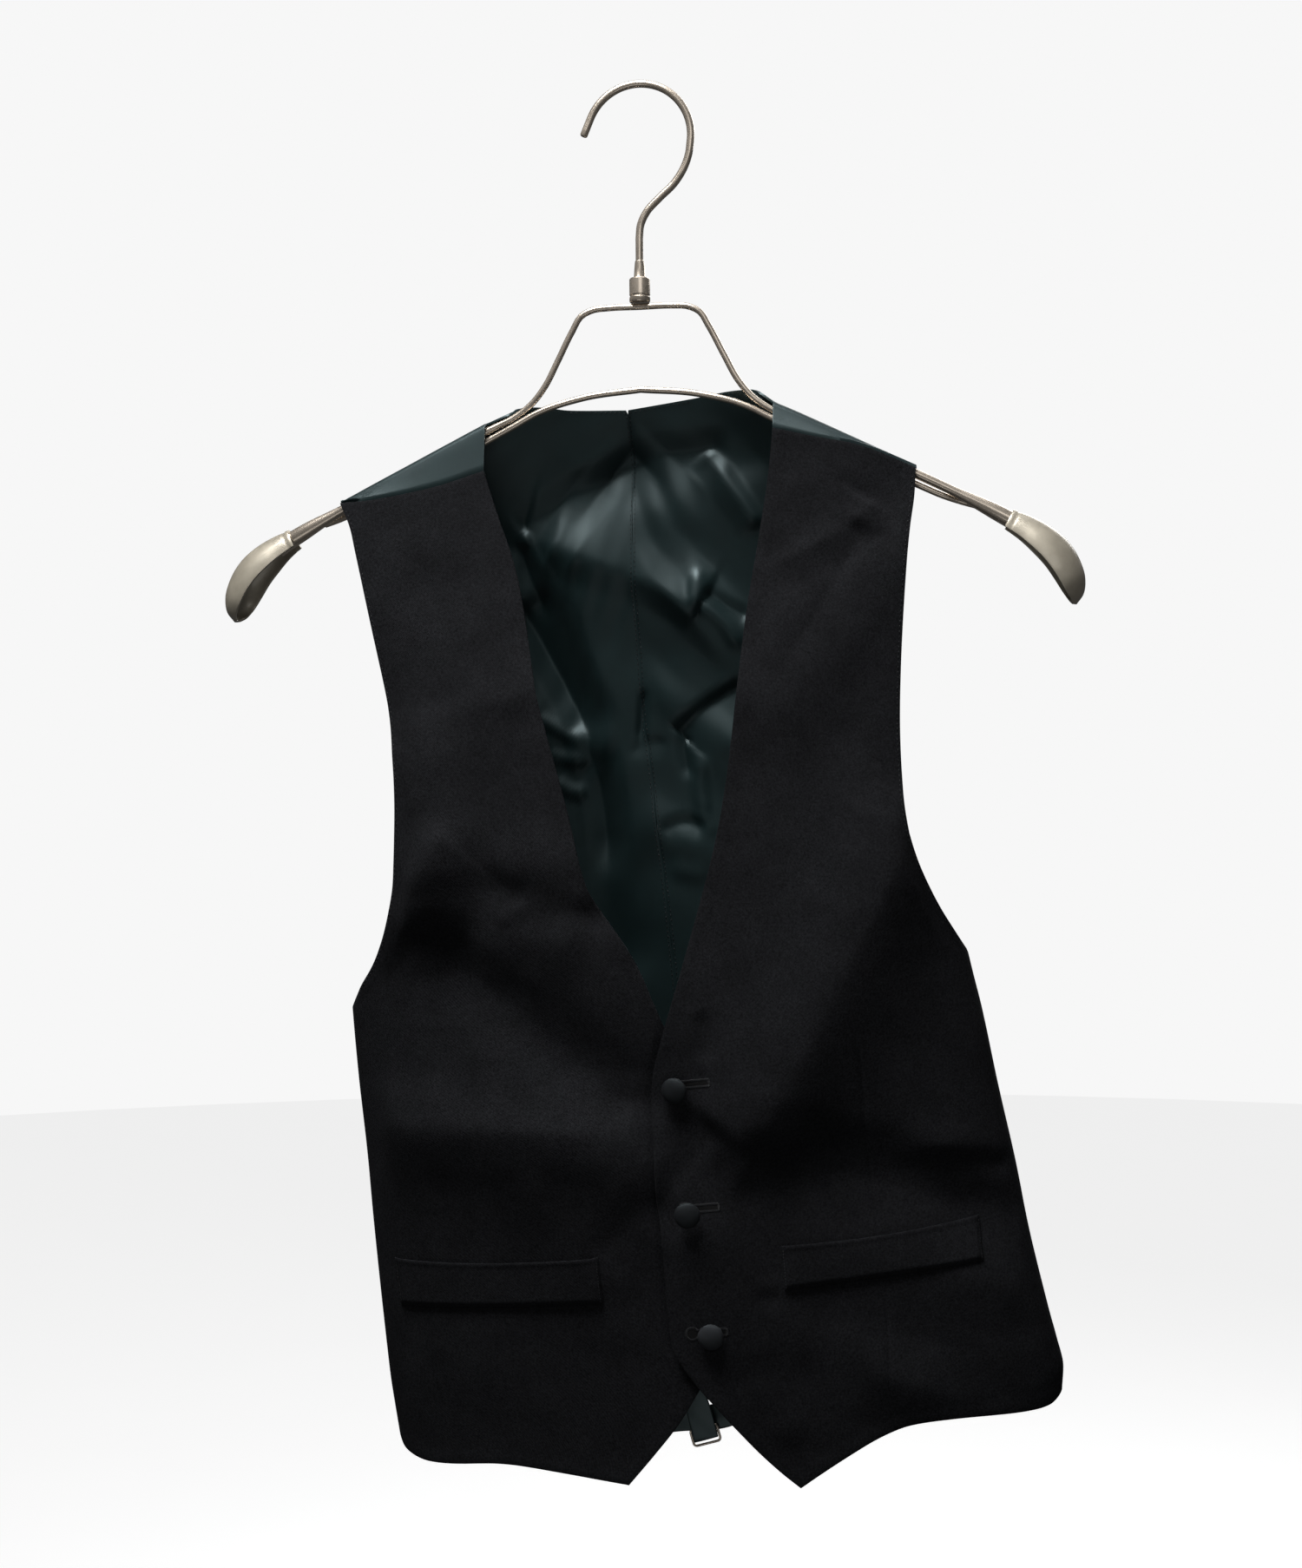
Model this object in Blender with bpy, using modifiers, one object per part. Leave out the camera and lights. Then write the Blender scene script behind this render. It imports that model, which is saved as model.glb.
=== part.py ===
"""A tuxedo waistcoat hanging on a steel hanger, built from the pieces its maker cuts and joins.

Frame: X runs across the garment (+X is its left side as worn), Y runs from its front (-Y) to its
back (+Y) and Z is up. The origin is where a rail touches the hanger's hook, at the inside of its
top. Tables are in millimetres. A drop is a distance straight down from the origin. A share runs
from 0 to 1 along an edge. Rows marked CORNER keep a corner; the others are joined smoothly.
"""
import math

import bmesh
import bpy
from mathutils import Matrix, Vector
from mathutils.bvhtree import BVHTree

MM = 0.001
SMOOTH = 0
CORNER = 1

# Cloth and the spaces between pieces.
WOOL = 1.6
SATIN = 1.2
SEAM_GAP = 0.7
SHOULDER_LIFT = 1.3
LAP_GAP = 3.8
LAID_GAP = 0.9

# Cells across and down each panel.
ACROSS = 16
FRONT_DOWN = 36
WRAP_ARC_POINTS = 5
BACK_DOWN = 32
SIDE_CROWDING = 1.6

# Hanger wires: the frame's thickness grows from the neck to the caps.
NECK_WIRE = 3.3
ARM_WIRE = 4.8
CAP_WIRE = 8.6
SWELL_START = 158.0
SWELL_LENGTH = 30.0
ARCH_WIRE = 3.4
HOOK_WIRE = 4.0
HOOK_RADIUS = 27.5
HOOK_TIP_ANGLE = 157.0
HOOK_TURN_ANGLE = -7.0
HOOK_TIP_LENGTH = 10.0
COLLAR_TOP = 90.2
NUT_TOP = 99.4
NUT_FOOT = 112.0
WIRE_GAP = 0.3
ARM_SLOPE_STRETCH = 1.12
SATIN_OVER_WIRE = ARM_WIRE / 2 + 0.45 + SATIN / 2
WRAP_END_DEPTH = 6.0

# Cross sections of the hanging body: how far its edges, front and back stand from the hanger's
# plane, and how far it reaches to both sides.
# drop, edge at -X, edge at +X, front, back, side at -X, side at +X
SECTIONS = [
    (150, 5.0, 5.0, 6, 12, -177, 157),
    (205, 5.0, 5.0, 9, 20, -174, 157),
    (260, 7.0, 6.0, 19, 28, -170, 157),
    (320, 8.0, 6.0, 30, 33, -166, 157),
    (390, 7.0, 4.0, 39, 37, -161, 158.5),
    (425, 5.0, 1.5, 42, 38, -159, 162),
    (448.7, 3.0, 0.6, 43, 39, -157.6, 165.4),
    (479, 0.6, 0.6, 44, 40, -156.9, 172.5),
    (515, 0.6, 0.6, 44, 40, -153.9, 179.7),
    (555, 0.6, 0.6, 44, 39, -149.5, 188.4),
    (590, 0.6, 0.6, 43, 38, -146.5, 195.0),
    (636, 0.6, 0.6, 42, 36, -142.0, 205.9),
    (657, 0.6, 0.6, 41, 35, -139.7, 211.2),
    (673, 0.6, 0.6, 41, 35, -137.9, 210.0),
    (702, 0.6, 0.6, 40, 34, -133.2, 206.4),
    (722, 0.6, 0.6, 40, 34, -129.6, 204.4),
]

# Edges of the right front, at -X and underneath.
# row of the grid, across, drop, joint
RIGHT_ARMHOLE = [
    (0, -161.4, 212.3, CORNER),
    (0.7, -156.5, 221.0, SMOOTH),
    (3.6, -145.8, 261.0, SMOOTH),
    (8.3, -130.9, 324.0, SMOOTH),
    (10.8, -126.2, 357.0, SMOOTH),
    (13.3, -125.6, 392.0, SMOOTH),
    (15.5, -127.6, 422.0, SMOOTH),
    (17.8, -138.4, 452.4, SMOOTH),
    (20, -156.9, 478.8, CORNER),
]
RIGHT_INNER = [
    (0, -82.4, 198.0, CORNER),
    (1.5, -75.5, 218.6, SMOOTH),
    (3.6, -63.5, 251.5, SMOOTH),
    (8.3, -49.8, 316.6, SMOOTH),
    (12.2, -33.8, 374.4, SMOOTH),
    (15.5, -19.8, 420.1, SMOOTH),
    (17.6, 0.2, 449.0, SMOOTH),
    (19.8, 16.4, 484.5, SMOOTH),
    (22, 30.2, 506.4, CORNER),
    (26.7, 33.4, 577.3, SMOOTH),
    (32, 39.3, 652.4, CORNER),
    (34, 21.2, 683.2, SMOOTH),
    (36, -4.3, 714.8, CORNER),
]
# share, across, drop, joint
RIGHT_HEM = [
    (0.00, -133.2, 702.3, CORNER),
    (0.07, -128.5, 709.5, SMOOTH),
    (0.14, -117.5, 713.0, SMOOTH),
    (0.25, -103.0, 712.8, SMOOTH),
    (0.50, -71.0, 709.2, SMOOTH),
    (0.72, -42.8, 710.7, SMOOTH),
    (1.00, -4.3, 714.8, CORNER),
]
# share, across, depth, drop
RIGHT_SHOULDER = [
    (0.00, -161.4, -3.8, 212.3),
    (0.27, -139.7, -6.0, 210.8),
    (0.67, -108.2, -7.0, 205.4),
    (1.00, -82.4, -7.0, 198.0),
]

# Edges of the left front, at +X and on top.
# row of the grid, across, drop, joint
LEFT_ARMHOLE = [
    (0, 142.0, 203.0, CORNER),
    (0.7, 141.6, 213.0, SMOOTH),
    (2.9, 138.0, 243.0, SMOOTH),
    (7.2, 134.2, 301.4, SMOOTH),
    (11.2, 133.8, 350.0, SMOOTH),
    (14, 137.8, 388.2, SMOOTH),
    (16.2, 148.2, 417.3, SMOOTH),
    (19, 165.3, 448.4, CORNER),
]
LEFT_INNER = [
    (0, 69.3, 180.6, CORNER),
    (1.8, 66.8, 207.5, SMOOTH),
    (5.8, 57.2, 272.2, SMOOTH),
    (9, 52.0, 320.5, SMOOTH),
    (12.2, 46.2, 368.0, SMOOTH),
    (14.8, 39.8, 401.1, SMOOTH),
    (18, 26.6, 450.5, SMOOTH),
    (22, 10.6, 507.5, SMOOTH),
    (22.9, 9.4, 521.0, SMOOTH),
    (24.8, 12.0, 549.0, SMOOTH),
    (29.2, 16.5, 615.7, SMOOTH),
    (31, 19.6, 645.6, SMOOTH),
    (31.7, 26.0, 655.5, SMOOTH),
    (32.4, 33.9, 665.3, SMOOTH),
    (34.2, 64.1, 697.8, SMOOTH),
    (36, 82.1, 712.7, CORNER),
]
# share, across, drop, joint
LEFT_HEM = [
    (0.00, 210.2, 669.9, CORNER),
    (0.07, 205.0, 674.2, SMOOTH),
    (0.15, 195.0, 676.0, SMOOTH),
    (0.48, 144.0, 678.9, SMOOTH),
    (0.70, 120.7, 687.2, SMOOTH),
    (0.90, 92.4, 705.4, SMOOTH),
    (1.00, 82.1, 712.7, CORNER),
]
# share, across, depth, drop
LEFT_SHOULDER = [
    (0.00, 142.0, -3.7, 203.0),
    (0.22, 126.0, -3.8, 195.4),
    (0.45, 110.9, -4.4, 189.8),
    (0.72, 89.3, -6.2, 185.3),
    (1.00, 69.3, -7.0, 180.6),
]

# Edges of the back halves, below the hanger's arm. Armholes are cut further in than the fronts'.
# row of the grid, across, drop, joint
BACK_RIGHT_ARMHOLE = [
    (0, -160.0, 220.0, CORNER),
    (1.9, -146.0, 246.0, SMOOTH),
    (7, -125.0, 324.0, SMOOTH),
    (10.9, -119.5, 385.0, SMOOTH),
    (13.4, -124.0, 424.0, SMOOTH),
    (15.4, -138.0, 454.0, SMOOTH),
    (17, -156.9, 478.8, CORNER),
]
BACK_RIGHT_NECK = [
    (0, -73.0, 167.4, CORNER),
    (1.3, -61.0, 162.6, SMOOTH),
    (2.9, -43.0, 164.2, SMOOTH),
    (6, -9.8, 165.0, CORNER),
]
BACK_LEFT_ARMHOLE = [
    (0, 141.0, 211.0, CORNER),
    (1.9, 133.0, 243.0, SMOOTH),
    (7, 125.5, 320.0, SMOOTH),
    (10.2, 126.0, 366.0, SMOOTH),
    (13.1, 136.0, 406.0, SMOOTH),
    (16, 165.3, 448.4, CORNER),
]
BACK_LEFT_NECK = [
    (0, 62.0, 162.4, CORNER),
    (1.3, 50.9, 157.8, SMOOTH),
    (2.9, 31.0, 159.8, SMOOTH),
    (6, -9.8, 165.0, CORNER),
]
# drop, across
CENTRE_SEAM = [
    (165, -9.8),
    (194, -9.3),
    (250, -8.6),
    (312, -6.3),
    (368, -0.7),
    (445, 7.3),
    (570, 17.0),
    (684, 25.5),
]
BACK_HEM_DROP = 684.0
BACK_HEM_RIGHT = 697.0
BACK_HEM_LEFT = 668.0

# The largest folds. Each runs from one place to another; its rise is out of the cloth's face when
# positive, and it fades over a width above and a width below its line.
# across, drop, to across, to drop, rise, width above, width below
FRONT_FOLDS = [
    (-96, 456, 14, 534, -6.0, 26, 18),
    (-125, 536, 6, 543, 6.5, 16, 34),
    (-112, 345, -104, 400, 5.0, 18, 22),
    (-104, 396, -118, 432, 5.5, 14, 20),
    (-66, 420, -26, 424, -4.5, 12, 12),
    (-130, 322, -58, 322, -3.0, 30, 22),
    (-22, 602, 14, 566, 2.2, 18, 18),
    (139, 385, 62, 540, 8.0, 34, 26),
    (84, 546, 190, 571, -5.5, 18, 26),
    (126, 214, 78, 246, -3.5, 14, 16),
    (119, 249, 64, 320, 4.0, 20, 26),
    (154, 545, 188, 553, 3.0, 9, 9),
    (116, 650, 150, 664, 2.5, 14, 16),
    (46, 590, 70, 640, 2.5, 22, 22),
]
BACK_FOLDS = [
    (-72, 229, -9, 194, 5.0, 22, 12),
    (-9, 194, 64, 187, 5.0, 22, 12),
    (-71, 227, 25, 267, -5.0, 12, 20),
    (25, 267, 50, 288, -4.0, 10, 14),
    (-68, 236, -24, 452, 6.0, 16, 22),
    (-60, 330, -30, 345, -3.0, 8, 10),
    (14, 315, 44, 344, -3.5, 12, 14),
    (4, 384, 32, 393, -3.0, 10, 12),
    (-120, 520, -20, 560, -4.0, 26, 26),
    (60, 500, 180, 540, -4.5, 26, 24),
    (-100, 610, 0, 590, 4.0, 24, 24),
    (50, 600, 180, 610, 4.0, 24, 26),
    (120, 260, 90, 380, 4.0, 18, 18),
]

# Welts: corners on the front, from the upper inner corner round to the lower inner one.
# across, drop
RIGHT_WELT = [(-131.0, 607.8), (-18.4, 599.6), (-16.1, 623.4), (-127.7, 632.6)]
LEFT_WELT = [(73.6, 591.5), (171.9, 578.3), (173.0, 600.4), (75.4, 613.6)]
WELT_SAG = 1.6
WELT_THICK = 1.6
WELT_CELLS = (10, 2)

# name, across, drop
BUTTONS = [
    ("button_top", 22.4, 514.5),
    ("button_middle", 27.8, 575.7),
    ("button_bottom", 38.9, 636.3),
]
BUTTON_WIDE = 13.2
BUTTON_HIGH = 5.0
BUTTON_RIM = 1.6
BUTTON_GAP = 0.4
BUTTON_STEPS = 24

# Waist straps: the line down the middle of each, with its distance out from the back.
# across, drop, depth out of the back
BUCKLE_STRAP = [(-88, 571, 0), (-60, 594, 1), (-28, 628, 2), (1, 664, 3), (17.5, 691, 3), (24.5, 715, 3)]
TONGUE_STRAP = [(118, 562, 0), (98, 592, 1), (79, 632, 3), (62, 672, 6), (40, 700, 8), (4, 707, 9)]
STRAP_WIDE = 13.4
STRAP_THICK = 1.4
STRAP_CLEAR = 0.4
SLIDE_WIDE = 15.0
SLIDE_HIGH = 9.0
SLIDE_WIRE = 1.4
SLIDE_CENTRE = (23.6, 713.4)
SLIDE_LEAN = 16.0
SLIDE_BEHIND = 1.9

# Hanger lines, right half of each: distance from the middle, drop.
FRAME_LINE = [
    (0, 114.1),
    (17, 114.1),
    (25, 114.8),
    (31, 117.6),
    (36, 125.5),
    (44, 141.0),
    (51, 154.0),
    (58, 162.6),
    (67, 169.2),
    (80, 175.2),
    (122, 195.7),
    (163, 216.0),
    (180, 225.0),
    (190, 230.8),
    (197, 235.4),
]
# distance from the middle, depth, drop
ARCH_LINE = [
    (0, 0.0, 157.2),
    (30, 0.0, 160.4),
    (57, 0.0, 168.4),
    (67, 0.0, 173.7),
    (80, 0.0, 180.3),
    (122, 0.6, 200.6),
    (145, 1.2, 212.0),
    (156, 2.2, 216.9),
    (164, 5.0, 219.4),
    (173, 6.4, 222.0),
]
# Hook's line from the end of its round part down to the nut: across, drop
HOOK_NECK = [(26.4, 35.5), (24.2, 42.0), (18.8, 50.5), (10.5, 58.2), (4.0, 64.9), (0.8, 71.4), (0.0, 78.4)]

# Cap sections from its mouth to its tip: top across, top drop, rim across, rim drop, half depth
CAP_STATIONS = [
    (191.0, 225.4, 186.4, 234.2, 6.6),
    (200.0, 229.0, 193.5, 239.4, 9.0),
    (209.5, 234.4, 200.2, 245.6, 11.6),
    (217.6, 241.6, 206.6, 252.6, 13.4),
    (223.2, 250.6, 211.6, 260.0, 14.0),
    (226.2, 260.8, 215.6, 266.8, 12.4),
    (225.4, 268.6, 218.4, 271.4, 8.6),
    (221.8, 273.9, 219.6, 273.4, 3.0),
]
CAP_ROUND = 8
CAP_WALL = 1.5

WOOL_BLACK = ("black wool", (0.012, 0.012, 0.014), 0.85, 0.0)
SATIN_GREEN = ("dark satin", (0.018, 0.026, 0.027), 0.35, 0.0)
STEEL_WARM = ("warm nickel", (0.46, 0.42, 0.38), 0.22, 1.0)
CAP_CHAMPAGNE = ("champagne plastic", (0.36, 0.31, 0.25), 0.28, 0.0)


def clamp(value):
    return max(0.0, min(1.0, value))


def ease(value):
    """A soft step from 0 to 1."""
    value = clamp(value)
    return value * value * (3 - 2 * value)


def blend(a, b, share):
    return a + (b - a) * share


def read_rows(rows, at):
    """Values of a table at a place between its rows. Rows start with their own place.

    A row that ends in SMOOTH or CORNER, as whole tables of edges do, loses that mark.
    """
    marked = isinstance(rows[0][-1], int) and len(rows[0]) == 4 and rows[0][-1] in (SMOOTH, CORNER)
    width = len(rows[0]) - (1 if marked else 0)
    at = max(rows[0][0], min(rows[-1][0], at))
    low = 0
    while low < len(rows) - 2 and rows[low + 1][0] < at:
        low += 1
    step = rows[low + 1][0] - rows[low][0]
    t = (at - rows[low][0]) / step

    def slope(index, column, ahead):
        first = max(0, index - 1)
        last = min(len(rows) - 1, index + 1)
        if marked and rows[index][-1] == CORNER:
            first, last = (index, index + 1) if ahead else (index - 1, index)
        return (rows[last][column] - rows[first][column]) / (rows[last][0] - rows[first][0])

    values = []
    for column in range(1, width):
        a = rows[low][column]
        b = rows[low + 1][column]
        m0 = slope(low, column, True) * step
        m1 = slope(low + 1, column, False) * step
        values.append(
            a * (2 * t**3 - 3 * t**2 + 1)
            + m0 * (t**3 - 2 * t**2 + t)
            + b * (3 * t**2 - 2 * t**3)
            + m1 * (t**3 - t**2)
        )
    return values


def side_reach(drop, side):
    """How far across the body reaches at a drop, towards -X (side -1) or +X (side 1)."""
    row = read_rows(SECTIONS, drop)
    return row[4] if side < 0 else row[5]


def fold_rise(folds, across, drop):
    """How far all the folds of a table move the cloth out of its face at one place."""
    total = 0.0
    for x0, d0, x1, d1, rise, above, below in folds:
        run = Vector((x1 - x0, d1 - d0))
        place = Vector((across - x0, drop - d0))
        along = place.dot(run) / run.length_squared
        off = (run.x * place.y - run.y * place.x) / run.length
        if run.x < 0:
            off = -off
        width = below if off > 0 else above
        past = max(0.0, -along, along - 1.0) * run.length
        total += rise * math.exp(-((off / width) ** 2)) * math.exp(-((past / 16.0) ** 2))
    return total


def body_depth(across, drop, face):
    """Distance of the plain body from the hanger's plane, at the front (-1) or the back (1)."""
    edge_low, edge_high, front, back, low, high = read_rows(SECTIONS, drop)
    middle = (low + high) / 2
    half = (high - low) / 2
    off = (across - middle) / half
    edge = blend(edge_low, edge_high, ease(off / 2 + 0.5))
    full = front if face < 0 else back
    crown = math.sqrt(max(0.0, 1.0 - min(1.0, abs(off)) ** 2.2))
    return blend(edge, full, crown)


def cloth_depth(across, drop, face):
    """Y of the hanging cloth, with its folds fading to nothing at the side seams."""
    low = side_reach(drop, -1)
    high = side_reach(drop, 1)
    inside = clamp(min(across - low, high - across) / 24.0)
    folds = FRONT_FOLDS if face < 0 else BACK_FOLDS
    return face * (body_depth(across, drop, face) + ease(inside) * fold_rise(folds, across, drop))


def lap(across, drop):
    """How far the left front stands proud where it runs over the right one."""
    return LAP_GAP * ease((78.0 - across) / 52.0) * ease((drop - 400.0) / 90.0)


def patch(outer, inner, top, bottom, u, v):
    """A point of the sheet stretched between four edges, u across it and v down it."""
    corner_a, corner_b = top(0.0), top(1.0)
    corner_c, corner_d = bottom(0.0), bottom(1.0)
    sides = outer(v) * (1 - u) + inner(v) * u
    ends = top(u) * (1 - v) + bottom(u) * v
    corners = (corner_a * (1 - u) + corner_b * u) * (1 - v) + (corner_c * (1 - u) + corner_d * u) * v
    return sides + ends - corners


def outer_edge(armhole, hem_drop, side, rows):
    """Armhole down to the underarm, then the side seam down to the hem."""
    last_row, _, underarm_drop, _ = armhole[-1]

    def at(v):
        row = v * rows
        if row <= last_row:
            return Vector(read_rows(armhole, row))
        drop = blend(underarm_drop, hem_drop, (row - last_row) / (rows - last_row))
        return Vector((side_reach(drop, side), drop))

    return at


def front_points(armhole, inner, hem, shoulder, side):
    """Grid of points of one front, from the shoulder seam down and from its outer edge in."""
    outer = outer_edge(armhole, hem[0][2], side, FRONT_DOWN)

    def top(u):
        across, _, drop = read_rows(shoulder, u)
        return Vector((across, drop))

    rows = []
    for j in range(FRONT_DOWN + 1):
        v = j / FRONT_DOWN
        row = []
        for i in range(ACROSS + 1):
            u = (i / ACROSS) ** SIDE_CROWDING
            place = patch(
                outer,
                lambda t: Vector(read_rows(inner, t * FRONT_DOWN)),
                top,
                lambda t: Vector(read_rows(hem, t)),
                u,
                v,
            )
            depth = cloth_depth(place.x, place.y, -1)
            if side > 0:
                depth -= lap(place.x, place.y)
            depth = blend(read_rows(shoulder, u)[1], depth, ease(v / 0.04))
            row.append(Vector((place.x, depth, -place.y)))
        rows.append(row)
    return rows


def frame_drop(distance):
    """Drop of the frame wire's middle, out along the arm."""
    return read_rows(FRAME_LINE, distance)[0]


def wrap_path(seam, across_end, share):
    """Points from the shoulder seam up the front, over the arm's wire, and down to behind it."""
    centre_drop = frame_drop(abs(seam.x))
    behind = blend(-2.0, 5.4, share * share)
    last_angle = blend(66.0, 6.0, share)
    seam_rise = centre_drop + seam.z
    first_angle = -84.0
    if seam_rise > 0:
        first_angle = math.degrees(math.atan2(seam.y, seam_rise)) + 16.0
    arc = []
    for k in range(WRAP_ARC_POINTS):
        turn = math.radians(blend(first_angle, last_angle, k / (WRAP_ARC_POINTS - 1)))
        rise = SATIN_OVER_WIRE * ARM_SLOPE_STRETCH * math.cos(turn)
        arc.append(Vector((seam.x, SATIN_OVER_WIRE * math.sin(turn), rise - centre_drop)))
    start = seam + (arc[0] - seam).normalized() * SEAM_GAP
    end = Vector((across_end, WRAP_END_DEPTH, behind - frame_drop(abs(across_end))))
    return [start, start.lerp(arc[0], 0.5)] + arc + [end]


def back_points(armhole, neck, shoulder, hem_side, side):
    """Grid of points of one back half: over the hanger's arm first, then down to the hem."""
    wraps = []
    for i in range(ACROSS + 1):
        u = (i / ACROSS) ** SIDE_CROWDING
        across, depth, drop = read_rows(shoulder, u)
        seam = Vector((across, depth, SHOULDER_LIFT * (1 - u) - drop))
        across_end = blend(armhole[0][1], neck[0][1], u)
        wraps.append(wrap_path(seam, across_end, u))

    last = [column[-1] for column in wraps]

    def top(u):
        index = u ** (1 / SIDE_CROWDING) * ACROSS
        low = min(ACROSS - 1, int(index))
        point = last[low].lerp(last[low + 1], index - low)
        return Vector((point.x, -point.z))

    start = top(0.0)
    end = top(1.0)
    armhole = [(0, start.x, start.y, CORNER)] + armhole[1:]
    neck = [(0, end.x, end.y, CORNER)] + neck[1:]
    outer = outer_edge(armhole, hem_side, side, BACK_DOWN)
    centre_gap = side * SEAM_GAP / 2

    def inner(v):
        row = v * BACK_DOWN
        last_row, _, centre_drop, _ = neck[-1]
        if row <= last_row:
            place = Vector(read_rows(neck, row))
            return place + Vector((centre_gap * row / last_row, 0))
        drop = blend(centre_drop, BACK_HEM_DROP, (row - last_row) / (BACK_DOWN - last_row))
        return Vector((read_rows(CENTRE_SEAM, drop)[0] + centre_gap, drop))

    def hem(u):
        return outer(1.0).lerp(inner(1.0), u)

    rows = [[column[k] for column in wraps] for k in range(len(wraps[0]) - 1)]
    for j in range(BACK_DOWN + 1):
        v = j / BACK_DOWN
        row = []
        for i in range(ACROSS + 1):
            u = (i / ACROSS) ** SIDE_CROWDING
            place = patch(outer, inner, top, hem, u, v)
            depth = blend(WRAP_END_DEPTH, cloth_depth(place.x, place.y, 1), ease(v / 0.12))
            row.append(Vector((place.x, depth, -place.y)))
        rows.append(row)
    return rows


def tidy_scene():
    for thing in list(bpy.data.objects):
        bpy.data.objects.remove(thing, do_unlink=True)


def make_material(finish):
    name, colour, rough, metal = finish
    material = bpy.data.materials.get(name) or bpy.data.materials.new(name)
    material.use_nodes = True
    shader = material.node_tree.nodes["Principled BSDF"]
    shader.inputs["Base Color"].default_value = (*colour, 1.0)
    shader.inputs["Roughness"].default_value = rough
    shader.inputs["Metallic"].default_value = metal
    return material


def place(thing, collection, finish):
    """Puts a new object in the model's collection, with a material of its own and smooth faces."""
    name, colour, rough, metal = finish
    thing.data.materials.append(make_material((f"{name} {thing.name}", colour, rough, metal)))
    collection.objects.link(thing)
    return thing


def wall(name, rows, thick, offset, collection, finish):
    """A sheet through a grid of points, given its thickness by Solidify."""
    down = len(rows) - 1
    across = len(rows[0]) - 1
    shape = bmesh.new()
    bmesh.ops.create_grid(shape, x_segments=across, y_segments=down, size=1.0)
    shape.verts.ensure_lookup_table()
    for j, row in enumerate(rows):
        for i, point in enumerate(row):
            shape.verts[j * (across + 1) + i].co = point * MM
    mesh = bpy.data.meshes.new(name)
    shape.to_mesh(mesh)
    shape.free()
    mesh.shade_smooth()
    sheet = bpy.data.objects.new(name, mesh)
    solid = sheet.modifiers.new("thickness", "SOLIDIFY")
    solid.thickness = thick * MM
    solid.offset = offset
    return place(sheet, collection, finish)


def panel_tree(rows):
    """Search tree over a panel's own facets, to lay other pieces on them."""
    points = [point for row in rows for point in row]
    wide = len(rows[0])
    faces = []
    for j in range(len(rows) - 1):
        for i in range(wide - 1):
            a = j * wide + i
            faces.append((a, a + 1, a + wide + 1, a + wide))
    return BVHTree.FromPolygons(points, faces)


def surface_depth(tree, across, drop, face):
    """Y of a panel's middle at a place, seen from the front (-1) or from behind (1)."""
    start = Vector((across, face * 300.0, -drop))
    hit = tree.ray_cast(start, Vector((0, -face, 0)))[0]
    return hit.y if hit else None


def add_fronts_and_backs(collection):
    right = front_points(RIGHT_ARMHOLE, RIGHT_INNER, RIGHT_HEM, RIGHT_SHOULDER, -1)
    left = front_points(LEFT_ARMHOLE, LEFT_INNER, LEFT_HEM, LEFT_SHOULDER, 1)
    back_right = back_points(BACK_RIGHT_ARMHOLE, BACK_RIGHT_NECK, RIGHT_SHOULDER, BACK_HEM_RIGHT, -1)
    back_left = back_points(BACK_LEFT_ARMHOLE, BACK_LEFT_NECK, LEFT_SHOULDER, BACK_HEM_LEFT, 1)
    wall("front_right", right, WOOL, 0.0, collection, WOOL_BLACK)
    wall("front_left", left, WOOL, 0.0, collection, WOOL_BLACK)
    wall("back_right", back_right, SATIN, 0.0, collection, SATIN_GREEN)
    wall("back_left", back_left, SATIN, 0.0, collection, SATIN_GREEN)
    return panel_tree(right), panel_tree(left), panel_tree(back_right), panel_tree(back_left)


def add_welt(name, corners, tree, collection):
    """A welt laid on a front: its own points are the front's, moved out."""
    cells_across, cells_down = WELT_CELLS
    out = WOOL / 2 + LAID_GAP + WELT_THICK / 2
    rows = []
    for j in range(cells_down + 1):
        v = j / cells_down
        row = []
        for i in range(cells_across + 1):
            u = i / cells_across
            top = Vector(corners[0]).lerp(Vector(corners[1]), u)
            low = Vector(corners[3]).lerp(Vector(corners[2]), u)
            spot = top.lerp(low, v)
            spot.y += WELT_SAG * math.sin(math.pi * u) * (1 - v)
            depth = surface_depth(tree, spot.x, spot.y, -1)
            row.append(Vector((spot.x, depth - out, -spot.y)))
        rows.append(row)
    wall(name, rows, WELT_THICK, 0.0, collection, WOOL_BLACK)


def turned(name, profile, steps, collection, finish):
    """A turned piece: a profile of (radius, height) from its top to its foot, with Screw."""
    shape = bmesh.new()
    points = [shape.verts.new((radius * MM, 0.0, height * MM)) for radius, height in profile]
    for a, b in zip(points, points[1:]):
        shape.edges.new((a, b))
    mesh = bpy.data.meshes.new(name)
    shape.to_mesh(mesh)
    shape.free()
    thing = bpy.data.objects.new(name, mesh)
    screw = thing.modifiers.new("turn", "SCREW")
    screw.steps = steps
    screw.render_steps = steps
    screw.use_merge_vertices = True
    screw.merge_threshold = 0.00005
    screw.use_smooth_shade = True
    return place(thing, collection, finish)


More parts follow.
